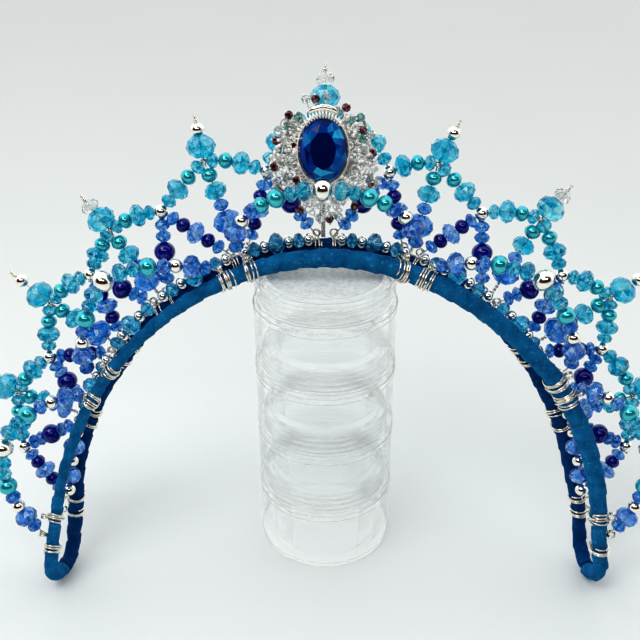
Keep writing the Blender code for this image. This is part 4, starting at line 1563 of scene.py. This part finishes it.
@dataclass
class Ornament:
    """The oval stone in its setting, over a pierced rosette with seed beads round it."""

    stone_z: float = 127.4
    stone_width: float = 12.4
    stone_height: float = 16.6
    seat_y: float = 0.6
    cuts: tuple[Triple, ...] = (
        (2.2, 0.55, 0.0),
        (1.75, 0.78, 0.5),
        (0.75, 0.96, 0.0),
        (0.15, 1.0, 0.5),
        (-0.15, 1.0, 0.5),
        (-1.6, 0.7, 0.0),
    )
    stone_sides: int = 16
    hand_cut: float = 0.1
    cut_gain: float = 0.04
    turn_cut: float = 3.0
    flat_within: float = 1.0
    table_band: float = 0.05
    dull: float = 0.4
    # Painted glints on the facets: the angle round the stone, the spread and the strength of each.
    painted_glints: tuple[Triple, ...] = (
        (52.0, 20.0, 1.0),
        (-25.0, 26.0, 0.6),
        (-88.0, 30.0, 0.9),
        (140.0, 24.0, 0.6),
    )
    painted_glint_chance: Pair = (0.3, 1.0)
    wall: float = 0.7
    rim: float = 0.3
    clearance: float = 0.38
    setting_depth: float = 3.2
    setting_back: float = 3.3
    rosette_front: float = 3.6
    rosette_thickness: float = 1.0
    rosette_bevel: float = 0.15
    outline_step: float = 2.0
    hole_step: float = 30.0
    core: float = 9.0
    petal_length: float = 13.4
    petal_half_angle: float = 20.0
    petal_fullness: float = 0.6
    petals: tuple[float, ...] = (35.0, -5.0, -45.0, -90.0, -135.0, 185.0, 145.0)
    holes: tuple[Triple, ...] = ((0.0, 12.0, 0.6), (8.0, 10.4, 1.0), (-8.0, 10.4, 1.0))
    filigree_wire: float = 0.2
    lace: tuple[Pair, ...] = (
        (-90.0, 18.3), (-75.0, 16.4), (-62.0, 13.4), (-48.0, 14.6), (-32.0, 16.6), (-18.0, 14.6),
        (0.0, 12.6), (20.0, 12.2), (40.0, 12.2), (58.0, 10.2),
    )
    lace_inner: Pair = (6.6, 8.9)
    lace_rings: int = 210
    ring_sizes: Pair = (0.65, 1.35)
    lace_depths: Pair = (1.3, 3.4)
    lace_thins: float = 0.4
    ring_tilt: float = 0.5
    ring_drawn: Pair = (0.6, 1.0)
    ring_points: int = 15
    lace_granules: int = 170
    granule_sizes: Pair = (0.8, 1.4)
    granule_forward: float = 0.4
    crystal_sizes: Pair = (0.6, 0.9)
    crystal_forward: float = 0.5
    crystal_every: int = 5
    bar_forward: float = 2.6
    bar_degrees: Pair = (118.0, 62.0)
    bar_points: int = 21
    bar_radius: float = 1.0
    bar_outside: float = 1.0
    bar_taper: float = 0.12
    claws: int = 13
    claw_half_angle: float = 40.0
    claw_wire: float = 0.26
    seed_root: float = 0.78
    seed_wire: float = 0.16
    seed_forward: Pair = (1.2, 2.6)
    seed_size: float = 1.15
    stop_at: float = 1.3
    stop_size: float = 0.7
    stem_gap: float = 0.3
    stem_behind: float = 1.05
    stem_below: float = 6.0
    stem_knee: float = 7.0
    stem_turns: float = 8.0
    stem_radius: float = 0.42
    stem_points: int = 90
    seeds: tuple[tuple[float, float, Bead], ...] = (
        (-4.5, 140.3, CLEAR), (-2.0, 140.5, PLUM), (0.8, 141.2, CLEAR), (-8.9, 136.4, PLUM),
        (-6.5, 136.1, AQUA), (-11.8, 132.5, CLEAR), (-9.4, 133.6, AQUA), (-12.3, 129.9, PLUM),
        (-7.8, 128.5, PLUM), (-10.4, 127.4, AQUA), (-12.9, 123.2, PLUM), (-14.4, 121.6, CLEAR),
        (-12.3, 118.7, CLEAR), (-11.4, 116.6, PLUM), (-7.0, 119.6, PLUM), (-6.2, 111.9, PLUM),
        (-0.9, 109.6, CLEAR), (1.7, 109.3, PLUM), (4.1, 110.0, CLEAR), (8.4, 112.8, PLUM),
        (6.0, 138.3, PLUM), (3.6, 137.5, CLEAR), (7.9, 134.6, AQUA), (9.8, 135.8, AQUA),
        (10.4, 132.7, PLUM), (12.4, 131.4, CLEAR), (10.4, 130.3, AQUA), (13.0, 126.6, PLUM),
        (14.2, 119.4, CLEAR), (12.2, 118.5, PLUM), (7.4, 121.4, CLEAR),
    )

    def upright(self) -> Matrix:
        """Turn a shape that faces +z to face the front, with its middle on the stone's."""
        return Matrix.Translation((0.0, 0.0, self.stone_z)) @ Matrix.Rotation(math.radians(90.0), 4, "X")

    def stretch(self) -> float:
        """The setting's height against its width."""
        return (self.stone_height + 2 * self.clearance) / (self.stone_width + 2 * self.clearance)

    def stone(self) -> None:
        """Cut the stone as the hull of its turned rings and paint its facets with random tones and painted
        glints.
        """
        shape = bmesh.new()
        chance = random.Random("stone")
        for number, (height, ring, turn) in enumerate(self.cuts):
            uneven = max(0.0, self.hand_cut - self.cut_gain * number)
            for step in range(self.stone_sides):
                share = ring * (1.0 + chance.uniform(-uneven, uneven))
                moved = step + turn + self.turn_cut * chance.uniform(-uneven, uneven)
                angle = math.tau * moved / self.stone_sides
                x = share * self.stone_width / 2 * math.cos(angle)
                y = share * self.stone_height / 2 * math.sin(angle)
                bmesh.ops.create_vert(shape, co=(x, y, height))
        bmesh.ops.convex_hull(shape, input=shape.verts)
        bmesh.ops.recalc_face_normals(shape, faces=shape.faces)
        limit = math.radians(self.flat_within)
        bmesh.ops.dissolve_limit(shape, angle_limit=limit, verts=shape.verts, edges=shape.edges)
        facet = shape.faces.layers.float.new("facet")
        # Table faces take the near-black painted dark reflection; the other facets a random dull tone plus
        # painted glints at fixed angles.
        table = self.cuts[0][0]
        for face in shape.faces:
            middle = face.calc_center_median()
            face.material_index = 1 if middle.z > table - self.table_band else 0
            turn = math.degrees(math.atan2(middle.y, middle.x))
            painted_glint_share = sum(most * math.exp(-(((turn - at) / spread) ** 2)) for at, spread, most in self.painted_glints)
            face[facet] = min(1.0, self.dull * chance.random() + painted_glint_share * chance.uniform(*self.painted_glint_chance))
        place = CENTRE_SPACE @ Matrix.Translation((0.0, self.seat_y, 0.0)) @ self.upright()
        bmesh.ops.transform(shape, matrix=place, verts=shape.verts)
        finish_piece(
            as_mesh(shape, "oval_stone"),
            "oval_stone",
            [Look.SAPPHIRE, Look.SAPPHIRE_TABLE],
            ["gem"],
        )

    def setting(self) -> None:
        """Spin the oval cup and set wire claws over its rim."""
        bench = Bench("stone_setting")
        inner = self.stone_width / 2 + self.clearance
        outer = inner + self.wall
        stretch = self.stretch()
        profile = (
            (0.0, 0.8),
            (inner, 0.8),
            (inner, self.setting_depth - 0.2),
            (inner + 0.1, self.setting_depth),
            (inner + self.rim, self.setting_depth - 0.3),
            (outer, 1.2),
            (outer, 0.0),
            (0.0, 0.0),
        )
        data = as_mesh(turned(profile, steps=64), "setting")
        turn = Matrix.Translation((0.0, self.setting_back, 0.0)) @ self.upright()
        place = turn @ Matrix.Diagonal((1.0, stretch, 1.0, 1.0))
        bench.add(data, place, Look.CAST_SILVER)
        bpy.data.meshes.remove(data)
        for step in np.linspace(-self.claw_half_angle, self.claw_half_angle, self.claws):
            angle = math.radians(90.0 + step)
            claw = []
            for reach, lift in ((outer + 0.5, -0.6), (outer, 0.1), (inner - 0.35, 0.25)):
                x, y = reach * math.cos(angle), reach * stretch * math.sin(angle)
                claw.append(np.array(turn @ Vector((x, y, self.setting_depth + lift))))
            bench.wire(np.array(claw), self.claw_wire, Look.CAST_SILVER)
        bench.piece(CENTRE_SPACE, ["gem_setting"])

    def reach(self, degrees: float) -> float:
        """The rosette's outline: round petals at its sides and below, and a plain top."""
        nearest = min(abs((degrees - petal + 180.0) % 360.0 - 180.0) for petal in self.petals)
        if nearest >= self.petal_half_angle:
            return self.core
        swell = math.cos(math.radians(90.0 * nearest / self.petal_half_angle)) ** self.petal_fullness
        return self.core + (self.petal_length - self.core) * swell

    def polar(self, degrees: float, radius: float, y: float) -> Array:
        """A place of the rosette from its angle and distance, in the headpiece's millimetres."""
        turn = math.radians(degrees)
        return np.array([radius * math.cos(turn), y, self.stone_z + radius * math.sin(turn)])

    def plate(self) -> Mesh:
        """The pierced plate of the rosette.

        Returns:
            Its mesh, flat on z with its middle at the origin.
        """
        data = bpy.data.curves.new("plate", "CURVE")
        data.dimensions = "2D"
        data.fill_mode = "BOTH"
        data.extrude = self.rosette_thickness / 2 - self.rosette_bevel
        data.bevel_depth = self.rosette_bevel
        data.offset = -self.rosette_bevel
        turns = np.arange(0.0, 360.0, self.outline_step)
        outlines = [[self.polar(d, self.reach(d), 0.0) for d in turns]]
        for petal in self.petals:
            for offset, distance, size in self.holes:
                middle = self.polar(petal + offset, distance, 0.0)
                ring = np.radians(np.arange(0.0, 360.0, self.hole_step))
                outlines.append([middle + size * np.array([math.cos(a), 0.0, math.sin(a)]) for a in ring])
        for points in outlines:
            spline = data.splines.new("POLY")
            spline.points.add(len(points) - 1)
            for control, point in zip(spline.points, points):
                control.co = (point[0], point[2] - self.stone_z, 0.0, 1.0)
            spline.use_cyclic_u = True
        helper = bpy.data.objects.new("plate", data)
        mesh = bpy.data.meshes.new_from_object(helper)
        bpy.data.objects.remove(helper)
        bpy.data.curves.remove(data)
        return mesh

    def lace_place(self, chance: random.Random) -> Array:
        """A place in the lace, between the stone and the lace's uneven outer line.

        Args:
            chance: The chance to draw it with.

        Returns:
            The place in the headpiece's millimetres.
        """
        marks, reaches = zip(*self.lace)
        degrees = chance.uniform(marks[0], marks[-1])
        turn = math.radians(degrees)
        wide, high = self.lace_inner
        least = 1.0 / math.hypot(math.cos(turn) / wide, math.sin(turn) / high)
        most = float(np.interp(degrees, marks, reaches))
        radius = math.sqrt(chance.uniform(least**2, most**2))
        side = chance.choice((-1.0, 1.0))
        thinner = 1.0 - self.lace_thins * radius / most
        depth = self.rosette_front - chance.uniform(*self.lace_depths) * thinner
        x = side * radius * math.cos(turn)
        return np.array([x, depth, self.stone_z + radius * math.sin(turn)])

    def rosette(self) -> None:
        """The rosette: its pierced plate under a lace of small rings, granules and set crystals."""
        bench = Bench("rosette_filigree")
        mesh = self.plate()
        middle = self.rosette_front + self.rosette_thickness / 2
        place = Matrix.Translation((0.0, middle, 0.0)) @ self.upright()
        bench.add(mesh, place, Look.CAST_SILVER)
        bpy.data.meshes.remove(mesh)
        for _ in range(self.lace_rings):
            centre = self.lace_place(bench.chance)
            radius = bench.chance.uniform(*self.ring_sizes)
            tip = Matrix.Rotation(bench.chance.gauss(0.0, self.ring_tilt), 3, "X")
            swing = Matrix.Rotation(bench.chance.gauss(0.0, self.ring_tilt), 3, "Z")
            drawn = bench.chance.uniform(*self.ring_drawn)
            loop = []
            for turn in np.linspace(0.0, math.tau, self.ring_points):
                spot = swing @ tip @ Vector((radius * math.cos(turn), 0.0, drawn * radius * math.sin(turn)))
                loop.append(centre + np.array(spot))
            bench.wire(np.array(loop), self.filigree_wire, Look.CAST_SILVER, sides=5)
        depth = np.array([0.0, 1.0, 0.0])
        for bead, count, forward, sizes in (
            (Bead.GRANULE, self.lace_granules, self.granule_forward, self.granule_sizes),
            (
                Bead.CLEAR_SEED,
                self.lace_granules // self.crystal_every,
                self.crystal_forward,
                self.crystal_sizes,
            ),
        ):
            for _ in range(count):
                spot = self.lace_place(bench.chance) - forward * depth
                bench.bead(bead, spot, depth, bench.chance.uniform(*sizes))
        bench.piece(CENTRE_SPACE, ["filigree"])

    def seed_beads(self) -> None:
        """The seed beads round the ornament, each on its own short wire."""
        bench = Bench("ornament_seed_beads")
        for x, z, bead in self.seeds:
            place = np.array([x, bench.chance.uniform(*self.seed_forward), z])
            root_z = self.stone_z + (z - self.stone_z) * self.seed_root
            root = np.array([x * self.seed_root, self.rosette_front, root_z])
            along = unit(place - root)
            handle = root + np.array([0.0, -1.0, 0.0])
            path = bezier(root, handle, place - along, place + 0.9 * along, count=8)
            bench.wire(path, self.seed_wire, sides=5)
            bench.bead(bead, place, along, self.seed_size)
            bench.bead(Bead.GRANULE, place + self.stop_at * along, along, self.stop_size)
        bench.piece(CENTRE_SPACE)

    def bar(self) -> None:
        """The polished curved bar over the stone."""
        bench = Bench("stone_bar")
        wide = self.stone_width / 2 + self.wall + self.clearance + self.bar_outside
        high = wide * self.stretch()
        turns = np.radians(np.linspace(*self.bar_degrees, self.bar_points))
        depth = self.rosette_front - self.bar_forward
        path = [(wide * math.cos(t), depth, self.stone_z + high * math.sin(t)) for t in turns]
        swell = np.linspace(self.bar_taper, math.pi - self.bar_taper, self.bar_points)
        bench.wire(np.array(path), self.bar_radius * np.sqrt(np.sin(swell)), Look.SILVER_BEAD, sides=12)
        bench.piece(CENTRE_SPACE, ["gem_bar"])

    def stem(self) -> None:
        """The three twisted wires that carry the ornament."""
        bench = Bench("ornament_stem")
        back = self.rosette_front + self.rosette_thickness + self.stem_behind
        base = HEAD.base(0.0, 0.0, self.stem_gap)
        top = np.array([0.0, back, self.stone_z - self.stem_below])
        knee = np.array([0.0, back, base[2] + self.stem_knee])
        path = bezier(top, knee, knee, base, count=40)
        share = np.linspace(0.0, 1.0, self.stem_points)
        line = at_distances(path, share * lengths_along(path)[-1])
        for phase in (0.0, math.tau / 3, 2 * math.tau / 3):
            angle = share * self.stem_turns * math.tau + phase
            circle = np.column_stack([np.cos(angle), np.sin(angle), np.zeros_like(angle)])
            bench.wire(line + self.stem_radius * circle, BINDING_RADIUS)
        bench.piece(CENTRE_SPACE, ["stem"])

    def build(self) -> None:
        """Make the ornament."""
        self.stone()
        self.setting()
        self.rosette()
        self.seed_beads()
        self.bar()
        self.stem()


@dataclass(frozen=True)
class Wrap:
    """A binding of silver wire round a band, by its place and its turns."""

    degrees: float
    turns: float
    shift: float = 0.0
    left: float = 0.0


@dataclass
class Bindings:
    """Silver wire wound round the bands where the strings are tied on."""

    front: tuple[Wrap, ...] = (
        Wrap(15.9, 4.0),
        Wrap(21.0, 5.0),
        Wrap(52.9, 4.0, left=-3.4),
        Wrap(56.5, 4.5),
        Wrap(79.0, 3.0),
        Wrap(81.9, 2.5, 4.0),
    )
    rear_turns: float = 2.6
    spread: float = 2.4
    pitch: float = 0.95
    stand_off: float = 0.3
    samples: int = 14
    slant: float = 0.9
    cross_slant: float = 1.5
    cross_turns: float = 1.3
    slant_chance: Pair = (0.3, 1.0)
    wander: float = 0.25
    wander_rate: float = 0.43
    wander_chance: Pair = (0.5, 1.3)
    ahead: float = 0.3
    slack: float = 0.05
    slack_rate: float = 0.71
    front_eye: Coil = Coil(1.05, 2.2, 0.5)
    front_eye_forward: float = 0.25
    front_eye_gap: float = 0.9
    front_eye_depth: float = 0.5
    rear_eye: Coil = Coil(1.0, 2.0, 0.5)
    rear_eye_gap: float = 1.5
    rear_eye_axis: Triple = (0.3, 1.0, 0.2)

    def wind(
        self,
        bench: Bench,
        path: Array,
        at: float,
        turns: float,
        radius: float,
        slant_most: float,
    ) -> None:
        """Wind a binding round a band.

        Args:
            bench: The piece that it belongs to.
            path: The band's centreline.
            at: The distance along it of the binding's middle.
            turns: How many turns.
            radius: The wire's distance from the centreline.
            slant_most: How far its turns may lean along the band.
        """
        count = int(self.samples * turns) + 1
        angles = np.linspace(0.0, math.tau * turns, count)
        slant = bench.chance.uniform(*self.slant_chance) * slant_most * bench.chance.choice((-1.0, 1.0))
        phase = bench.chance.uniform(0.0, math.tau)
        uneven = bench.chance.uniform(*self.wander_chance)
        along = at + (angles / math.tau - turns / 2) * self.pitch
        wander = self.wander * np.sin(angles * self.wander_rate * uneven)
        along = along + slant * np.sin(angles + phase) + wander
        points = at_distances(path, along)
        tangents = at_distances(path, along + self.ahead) - points
        tangents /= np.linalg.norm(tangents, axis=1)[:, None]
        depth = np.array([0.0, 1.0, 0.0])
        sides = np.cross(tangents, depth)
        sides /= np.linalg.norm(sides, axis=1)[:, None]
        deep = np.cross(sides, tangents)
        size = radius * (1.0 + self.slack * np.sin(angles * self.slack_rate + phase))
        bench.wire(around(points, sides, deep, size, angles + phase), BINDING_RADIUS)

    def distance_of(self, path: Array, place: Pair) -> float:
        """The distance along a band at which it passes nearest to an x and z place."""
        gaps = np.hypot(path[:, 0] - place[0], path[:, 2] - place[1])
        return float(lengths_along(path)[int(np.argmin(gaps))])

    def build(self) -> None:
        """Bind the front arches' feet and the fan's bases."""
        front_path, rear_path = Bands().paths()
        bench = Bench("front_band_bindings")
        for side in (1, -1):
            for wrap in self.front:
                degrees = side * (wrap.degrees + (wrap.left if side < 0 else 0.0))
                x, z = HEAD.front.point(degrees)
                at = self.distance_of(front_path, (x, z)) + side * wrap.shift
                moved, grown = HEAD.bend("front", x, z)
                radius = HEAD.radius(z) + grown + self.stand_off
                self.wind(bench, front_path, at, wrap.turns, radius, self.slant)
                crossing = radius + BINDING_RADIUS
                self.wind(bench, front_path, at, self.cross_turns, crossing, self.cross_slant)
                out_x, out_z = HEAD.front.outward(degrees)
                out = np.array([out_x, -self.front_eye_forward, out_z])
                eye = np.array([x, 0.0, z]) + (radius + moved + self.front_eye_gap) * out
                bench.coil(eye, (out_z, self.front_eye_depth, -out_x), self.front_eye)
        bench.piece(SPACE)
        bench = Bench("rear_band_bindings")
        for side in (1, -1):
            for number, degrees in enumerate(HEAD.base_degrees):
                if number == 0 and side < 0:
                    continue
                x, z = HEAD.rear.point(side * degrees)
                at = self.distance_of(rear_path, (x, z))
                radius = HEAD.rear_radius(z) + HEAD.bend("rear", x, z)[1] + self.stand_off
                for shift in (-self.spread, self.spread):
                    self.wind(bench, rear_path, at + shift, self.rear_turns, radius, self.slant)
                    eye = HEAD.base(side * degrees, shift, self.rear_eye_gap)
                    bench.coil(eye, self.rear_eye_axis, self.rear_eye)
        bench.piece(SPACE)


@dataclass
class JarStack:
    """Four clear jars, each screwed onto the neck of the one below, and a lid."""

    count: int = 4
    pitch: float = 20.6
    radius: float = 20.0
    ring_radius: float = 20.08
    ring_height: float = 2.6
    wall: float = 1.6
    floor: float = 1.6
    neck_radius: float = 18.0
    neck_height: float = 6.5
    clearance: float = 0.3
    lid_radius: float = 19.7
    lid_plate: float = 0.5
    lid_rim_radius: float = 16.3
    lid_rim_height: float = 0.3
    steps: int = 160
    knurls: int = 150
    knurl_below: float = 0.7
    rib_radius: float = 0.14
    thread_depth: float = 0.4
    threads: tuple[float, ...] = (1.1, 2.9, 4.7)
    groove: tuple[Pair, ...] = ((0.75, 0.0), (0.35, 1.0), (-0.15, 1.0), (-0.5, 0.0))
    rib_lifts: Pair = (-0.55, 0.75)
    round_cut: float = 0.4
    round_share: float = 0.4
    sharp_degrees: float = 35.0
    knurl_sizes: Pair = (0.8, 1.15)
    sheet: float = 0.04
    sheet_gap: float = 0.3
    lid_line: float = 0.12
    lid_line_gap: float = 0.1
    lid_rib_gap: float = 0.15

    def soften(self, profile: Sequence[Pair]) -> list[Pair]:
        """Round the corners of a turned profile.

        Args:
            profile: Radius and height pairs.

        Returns:
            The profile with each inner corner as a short curve.
        """
        points = [np.array(p, float) for p in profile]
        out = [points[0]]
        for before, corner, after in zip(points, points[1:], points[2:]):
            reach = min(
                self.round_cut,
                self.round_share * float(np.linalg.norm(corner - before)),
                self.round_share * float(np.linalg.norm(after - corner)),
            )
            start, end = corner + unit(before - corner) * reach, corner + unit(after - corner) * reach
            out += [start, (start + 2 * corner + end) / 4, end]
        out.append(points[-1])
        return [(float(r), float(z)) for r, z in out]

    def neck(self, shoulder: float) -> list[Pair]:
        """The neck's outer side with its thread grooves, from top to shoulder."""
        points = [(self.neck_radius, shoulder + self.neck_height)]
        for rise in sorted(self.threads, reverse=True):
            for lift, sunk in self.groove:
                points.append((self.neck_radius - sunk * self.thread_depth, shoulder + rise + lift))
        return [*points, (self.neck_radius, shoulder)]

    def jar(self, number: int, stand: Vector) -> None:
        """Draw one jar's profile and have it turned.

        Args:
            number: The jar's place from the bottom, from 0.
            stand: The foot of the stack's axis.
        """
        shoulder, recess_top = self.pitch, self.neck_height + self.clearance
        bore, recess = self.neck_radius - self.wall, self.neck_radius + self.clearance
        floor = recess_top + self.floor if number else self.floor
        lowest = self.clearance if number else 0.0
        profile = [(0.0, floor), (bore, floor), (bore, shoulder + self.neck_height)]
        profile += self.neck(shoulder)
        profile += [
            (self.ring_radius, shoulder),
            (self.ring_radius, shoulder - self.ring_height),
            (self.radius, shoulder - self.ring_height),
            (self.radius, lowest),
        ]
        if number:
            profile += [(recess, lowest), (recess, recess_top), (0.0, recess_top)]
        else:
            profile += [(0.0, 0.0)]
        place = Matrix.Translation((stand.x, stand.y, stand.z + number * self.pitch * MM))
        self.turn(f"jar_{number + 1}", profile, place)
        self.marks(f"jar_{number + 1}_marks", place, self.pitch - self.knurl_below)

    def lid(self, stand: Vector) -> None:
        """Spin the lid on the uppermost jar.

        Args:
            stand: The foot of the stack's axis.
        """
        skirt = self.neck_radius + self.clearance
        underside = self.neck_height + self.clearance
        plate_top = underside + self.lid_plate
        profile = [
            (0.0, plate_top),
            (self.lid_rim_radius, plate_top),
            (self.lid_rim_radius, plate_top + self.lid_rim_height),
            (self.lid_radius, plate_top + self.lid_rim_height),
            (self.lid_radius, self.clearance),
            (skirt, self.clearance),
            (skirt, underside),
            (0.0, underside),
        ]
        place = Matrix.Translation((stand.x, stand.y, stand.z + self.count * self.pitch * MM))
        self.turn("jar_lid", profile, place)
        bench = Bench("jar_lid_marks")
        line = self.circle(self.lid_rim_radius - self.lid_line_gap, plate_top + 2 * self.sheet)
        bench.wire(line, self.lid_line, Look.FROSTED)
        rib = self.circle(self.lid_radius - self.lid_rib_gap, plate_top + self.lid_rim_height)
        bench.wire(rib, self.rib_radius, Look.CLEAR_RIB)
        # The whitish sheet over the lid plate is a painted sheen, mottled at random.
        sheet = self.disc(self.lid_rim_radius - self.sheet_gap)
        bench.add(sheet, Matrix.Translation((0.0, 0.0, plate_top + 0.75 * self.sheet)), Look.PAINTED_SHEEN_MOTTLED)
        bpy.data.meshes.remove(sheet)
        bench.piece(place @ Matrix.Scale(MM, 4))

    def circle(self, radius: float, height: float) -> Array:
        """A level circle round a jar's axis as a closed row of points."""
        turn = np.linspace(0.0, math.tau, self.steps + 1)
        return np.column_stack([radius * np.cos(turn), radius * np.sin(turn), np.full_like(turn, height)])

    def disc(self, radius: float) -> Mesh:
        """A thin round sheet."""
        shape = bmesh.new()
        bmesh.ops.create_cone(
            shape,
            cap_ends=True,
            segments=96,
            radius1=radius,
            radius2=radius,
            depth=self.sheet,
        )
        return as_mesh(shape, "disc")

    def marks(self, name: str, place: Matrix, knurl: float) -> None:
        """The row of tiny knurl points round a jar's rim and the ribs of the thread above it.

        Args:
            name: The piece's name.
            place: The jar's place in the frame.
            knurl: The height of the knurl over the jar's foot.
        """
        bench = Bench(name)
        upward = np.array([0.0, 0.0, 1.0])
        for step in range(self.knurls):
            turn = math.tau * step / self.knurls
            point = np.array([self.ring_radius * math.cos(turn), self.ring_radius * math.sin(turn), knurl])
            bench.bead(Bead.KNURL, point, upward, bench.chance.uniform(*self.knurl_sizes))
        for rise in self.threads:
            for lift in self.rib_lifts:
                path = self.circle(self.neck_radius + self.clearance / 2, self.pitch + rise + lift)
                bench.wire(path, self.rib_radius, Look.CLEAR_RIB)
        for height in (self.floor + 0.1, self.pitch - self.ring_height):
            bench.wire(self.circle(self.radius + 0.02, height), self.rib_radius, Look.CLEAR_RIB)
        bench.piece(place @ Matrix.Scale(MM, 4))

    def turn(self, name: str, profile: Sequence[Pair], place: Matrix) -> None:
        """Spin a moulding and finish it.

        Args:
            name: The node that it stands for.
            profile: Its radius and height pairs.
            place: Its place in the frame.
        """
        shape = smooth(turned(self.soften(profile), self.steps))
        bmesh.ops.transform(shape, matrix=place @ Matrix.Scale(MM, 4), verts=shape.verts)
        data = as_mesh(shape, f"{name}_shell")
        data.set_sharp_from_angle(angle=math.radians(self.sharp_degrees))
        finish_piece(data, f"{name}_shell", [Look.CLEAR_PLASTIC], [name])

    def build(self) -> None:
        """Make the four jars and their lid on the first jar's place."""
        stand = stack_foot()
        for number in range(self.count):
            self.jar(number, stand)
        self.lid(stand)


@dataclass(frozen=True)
class SoftLight:
    """An area light's name, its place and size in millimetres, and its power in watts."""

    name: str
    place: Triple
    size: Pair
    power: float


@dataclass
class Studio:
    """The floor, the light and the camera."""

    floor_half: float = 4000.0
    lens: float = 49.3
    pitch: float = 28.56
    back: float = 218.2
    up: float = 193.6
    axis_pixel: float = 325.26
    world_strength: float = 0.88
    viewer_direction: Triple = (0.0, -0.93, 0.36)
    dark_width: float = 0.5
    tones: tuple[tuple[float, str], ...] = ((0.68, "#3a2622"), (0.78, "#6d625c"), (0.98, "#ffffff"))
    backdrop: str = "#f2f5f4"
    lights: tuple[SoftLight, ...] = (
        SoftLight("key_light", (-250.0, -250.0, 650.0), (300.0, 300.0), 1.0),
        SoftLight("window_light", (0.0, -424.0, 494.0), (600.0, 60.0), 0.5),
    )
    lit_height: float = 70.0

    def floor(self) -> None:
        """A plain pale sheet under the object."""
        shape = bmesh.new()
        bmesh.ops.create_grid(shape, x_segments=2, y_segments=2, size=self.floor_half * MM)
        data = as_mesh(shape, "floor")
        data.materials.append(material_of(Look.PAPER))
        obj = bpy.data.objects.new("floor", data)
        bpy.context.scene.collection.objects.link(obj)

    def light(self, light: SoftLight) -> None:
        """Set up a soft light that faces the object.

        Args:
            light: Its values.
        """
        lamp = bpy.data.lights.new(light.name, "AREA")
        lamp.shape = "RECTANGLE"
        lamp.size = light.size[0] * MM
        lamp.size_y = light.size[1] * MM
        lamp.energy = light.power
        obj = bpy.data.objects.new(light.name, lamp)
        obj.location = Vector(light.place) * MM
        target = Vector((0.0, 0.0, self.lit_height)) * MM
        obj.rotation_euler = (target - obj.location).to_track_quat("-Z", "Y").to_euler()
        bpy.context.scene.collection.objects.link(obj)

    def sky(self) -> None:
        """A pale room, darker low in front, so that metal and cut glass have something to reflect."""
        world = bpy.data.worlds.new("studio")
        world.use_nodes = True
        tree = world.node_tree
        tree.nodes.clear()
        place = add_node(tree, "ShaderNodeTexCoord")
        squeezed = add_node(
            tree,
            "ShaderNodeVectorMath",
            {"operation": "MULTIPLY"},
            {0: place.outputs["Generated"], 1: (self.dark_width, 1.0, 1.0)},
        )
        facing = add_node(
            tree,
            "ShaderNodeVectorMath",
            {"operation": "DISTANCE"},
            {0: squeezed.outputs["Vector"], 1: Vector(self.viewer_direction).normalized()},
        )
        room = add_node(tree, "ShaderNodeValToRGB", inputs={"Fac": facing.outputs["Value"]})
        ramp = room.color_ramp
        (low, dark), (middle, mid_tone), (high, pale) = self.tones
        for element, position, colour in zip(ramp.elements, (low, high), (dark, pale)):
            element.position = position
            element.color = linear(colour)
        ramp.elements.new(middle).color = linear(mid_tone)
        seen = add_node(tree, "ShaderNodeLightPath").outputs["Is Camera Ray"]
        backdrop = blend(tree, seen, room.outputs["Color"], linear(self.backdrop))
        inputs = {"Color": backdrop, "Strength": self.world_strength}
        glow = add_node(tree, "ShaderNodeBackground", inputs=inputs)
        add_node(tree, "ShaderNodeOutputWorld", inputs={"Surface": glow.outputs["Background"]})
        bpy.context.scene.world = world

    def camera(self) -> None:
        """The camera at the photograph's angle."""
        data = bpy.data.cameras.new("camera")
        data.lens = self.lens
        data.sensor_width = 36.0
        data.shift_x = -(self.axis_pixel - PHOTO_SIDE / 2) / PHOTO_SIDE
        data.clip_start = 0.01
        obj = bpy.data.objects.new("camera", data)
        obj.location = (0.0, stack_foot().y - self.back * MM, self.up * MM)
        obj.rotation_euler = (math.radians(90.0 - self.pitch), 0.0, 0.0)
        bpy.context.scene.collection.objects.link(obj)
        bpy.context.scene.camera = obj

    def build(self) -> None:
        """Set the stage."""
        self.floor()
        self.sky()
        for light in self.lights:
            self.light(light)
        self.camera()
        view = bpy.context.scene.view_settings
        view.view_transform = "Standard"
        view.look = "High Contrast"


def main() -> None:
    """Build the looks piece by piece."""
    logging.basicConfig(level=logging.INFO, format="%(message)s")
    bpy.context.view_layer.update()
    Studio().build()
    for part in (Bands(), Fan(), FrontRow(), SpacerChain(), Ornament(), Bindings(), JarStack()):
        part.build()


if __name__ == "__main__":
    main()
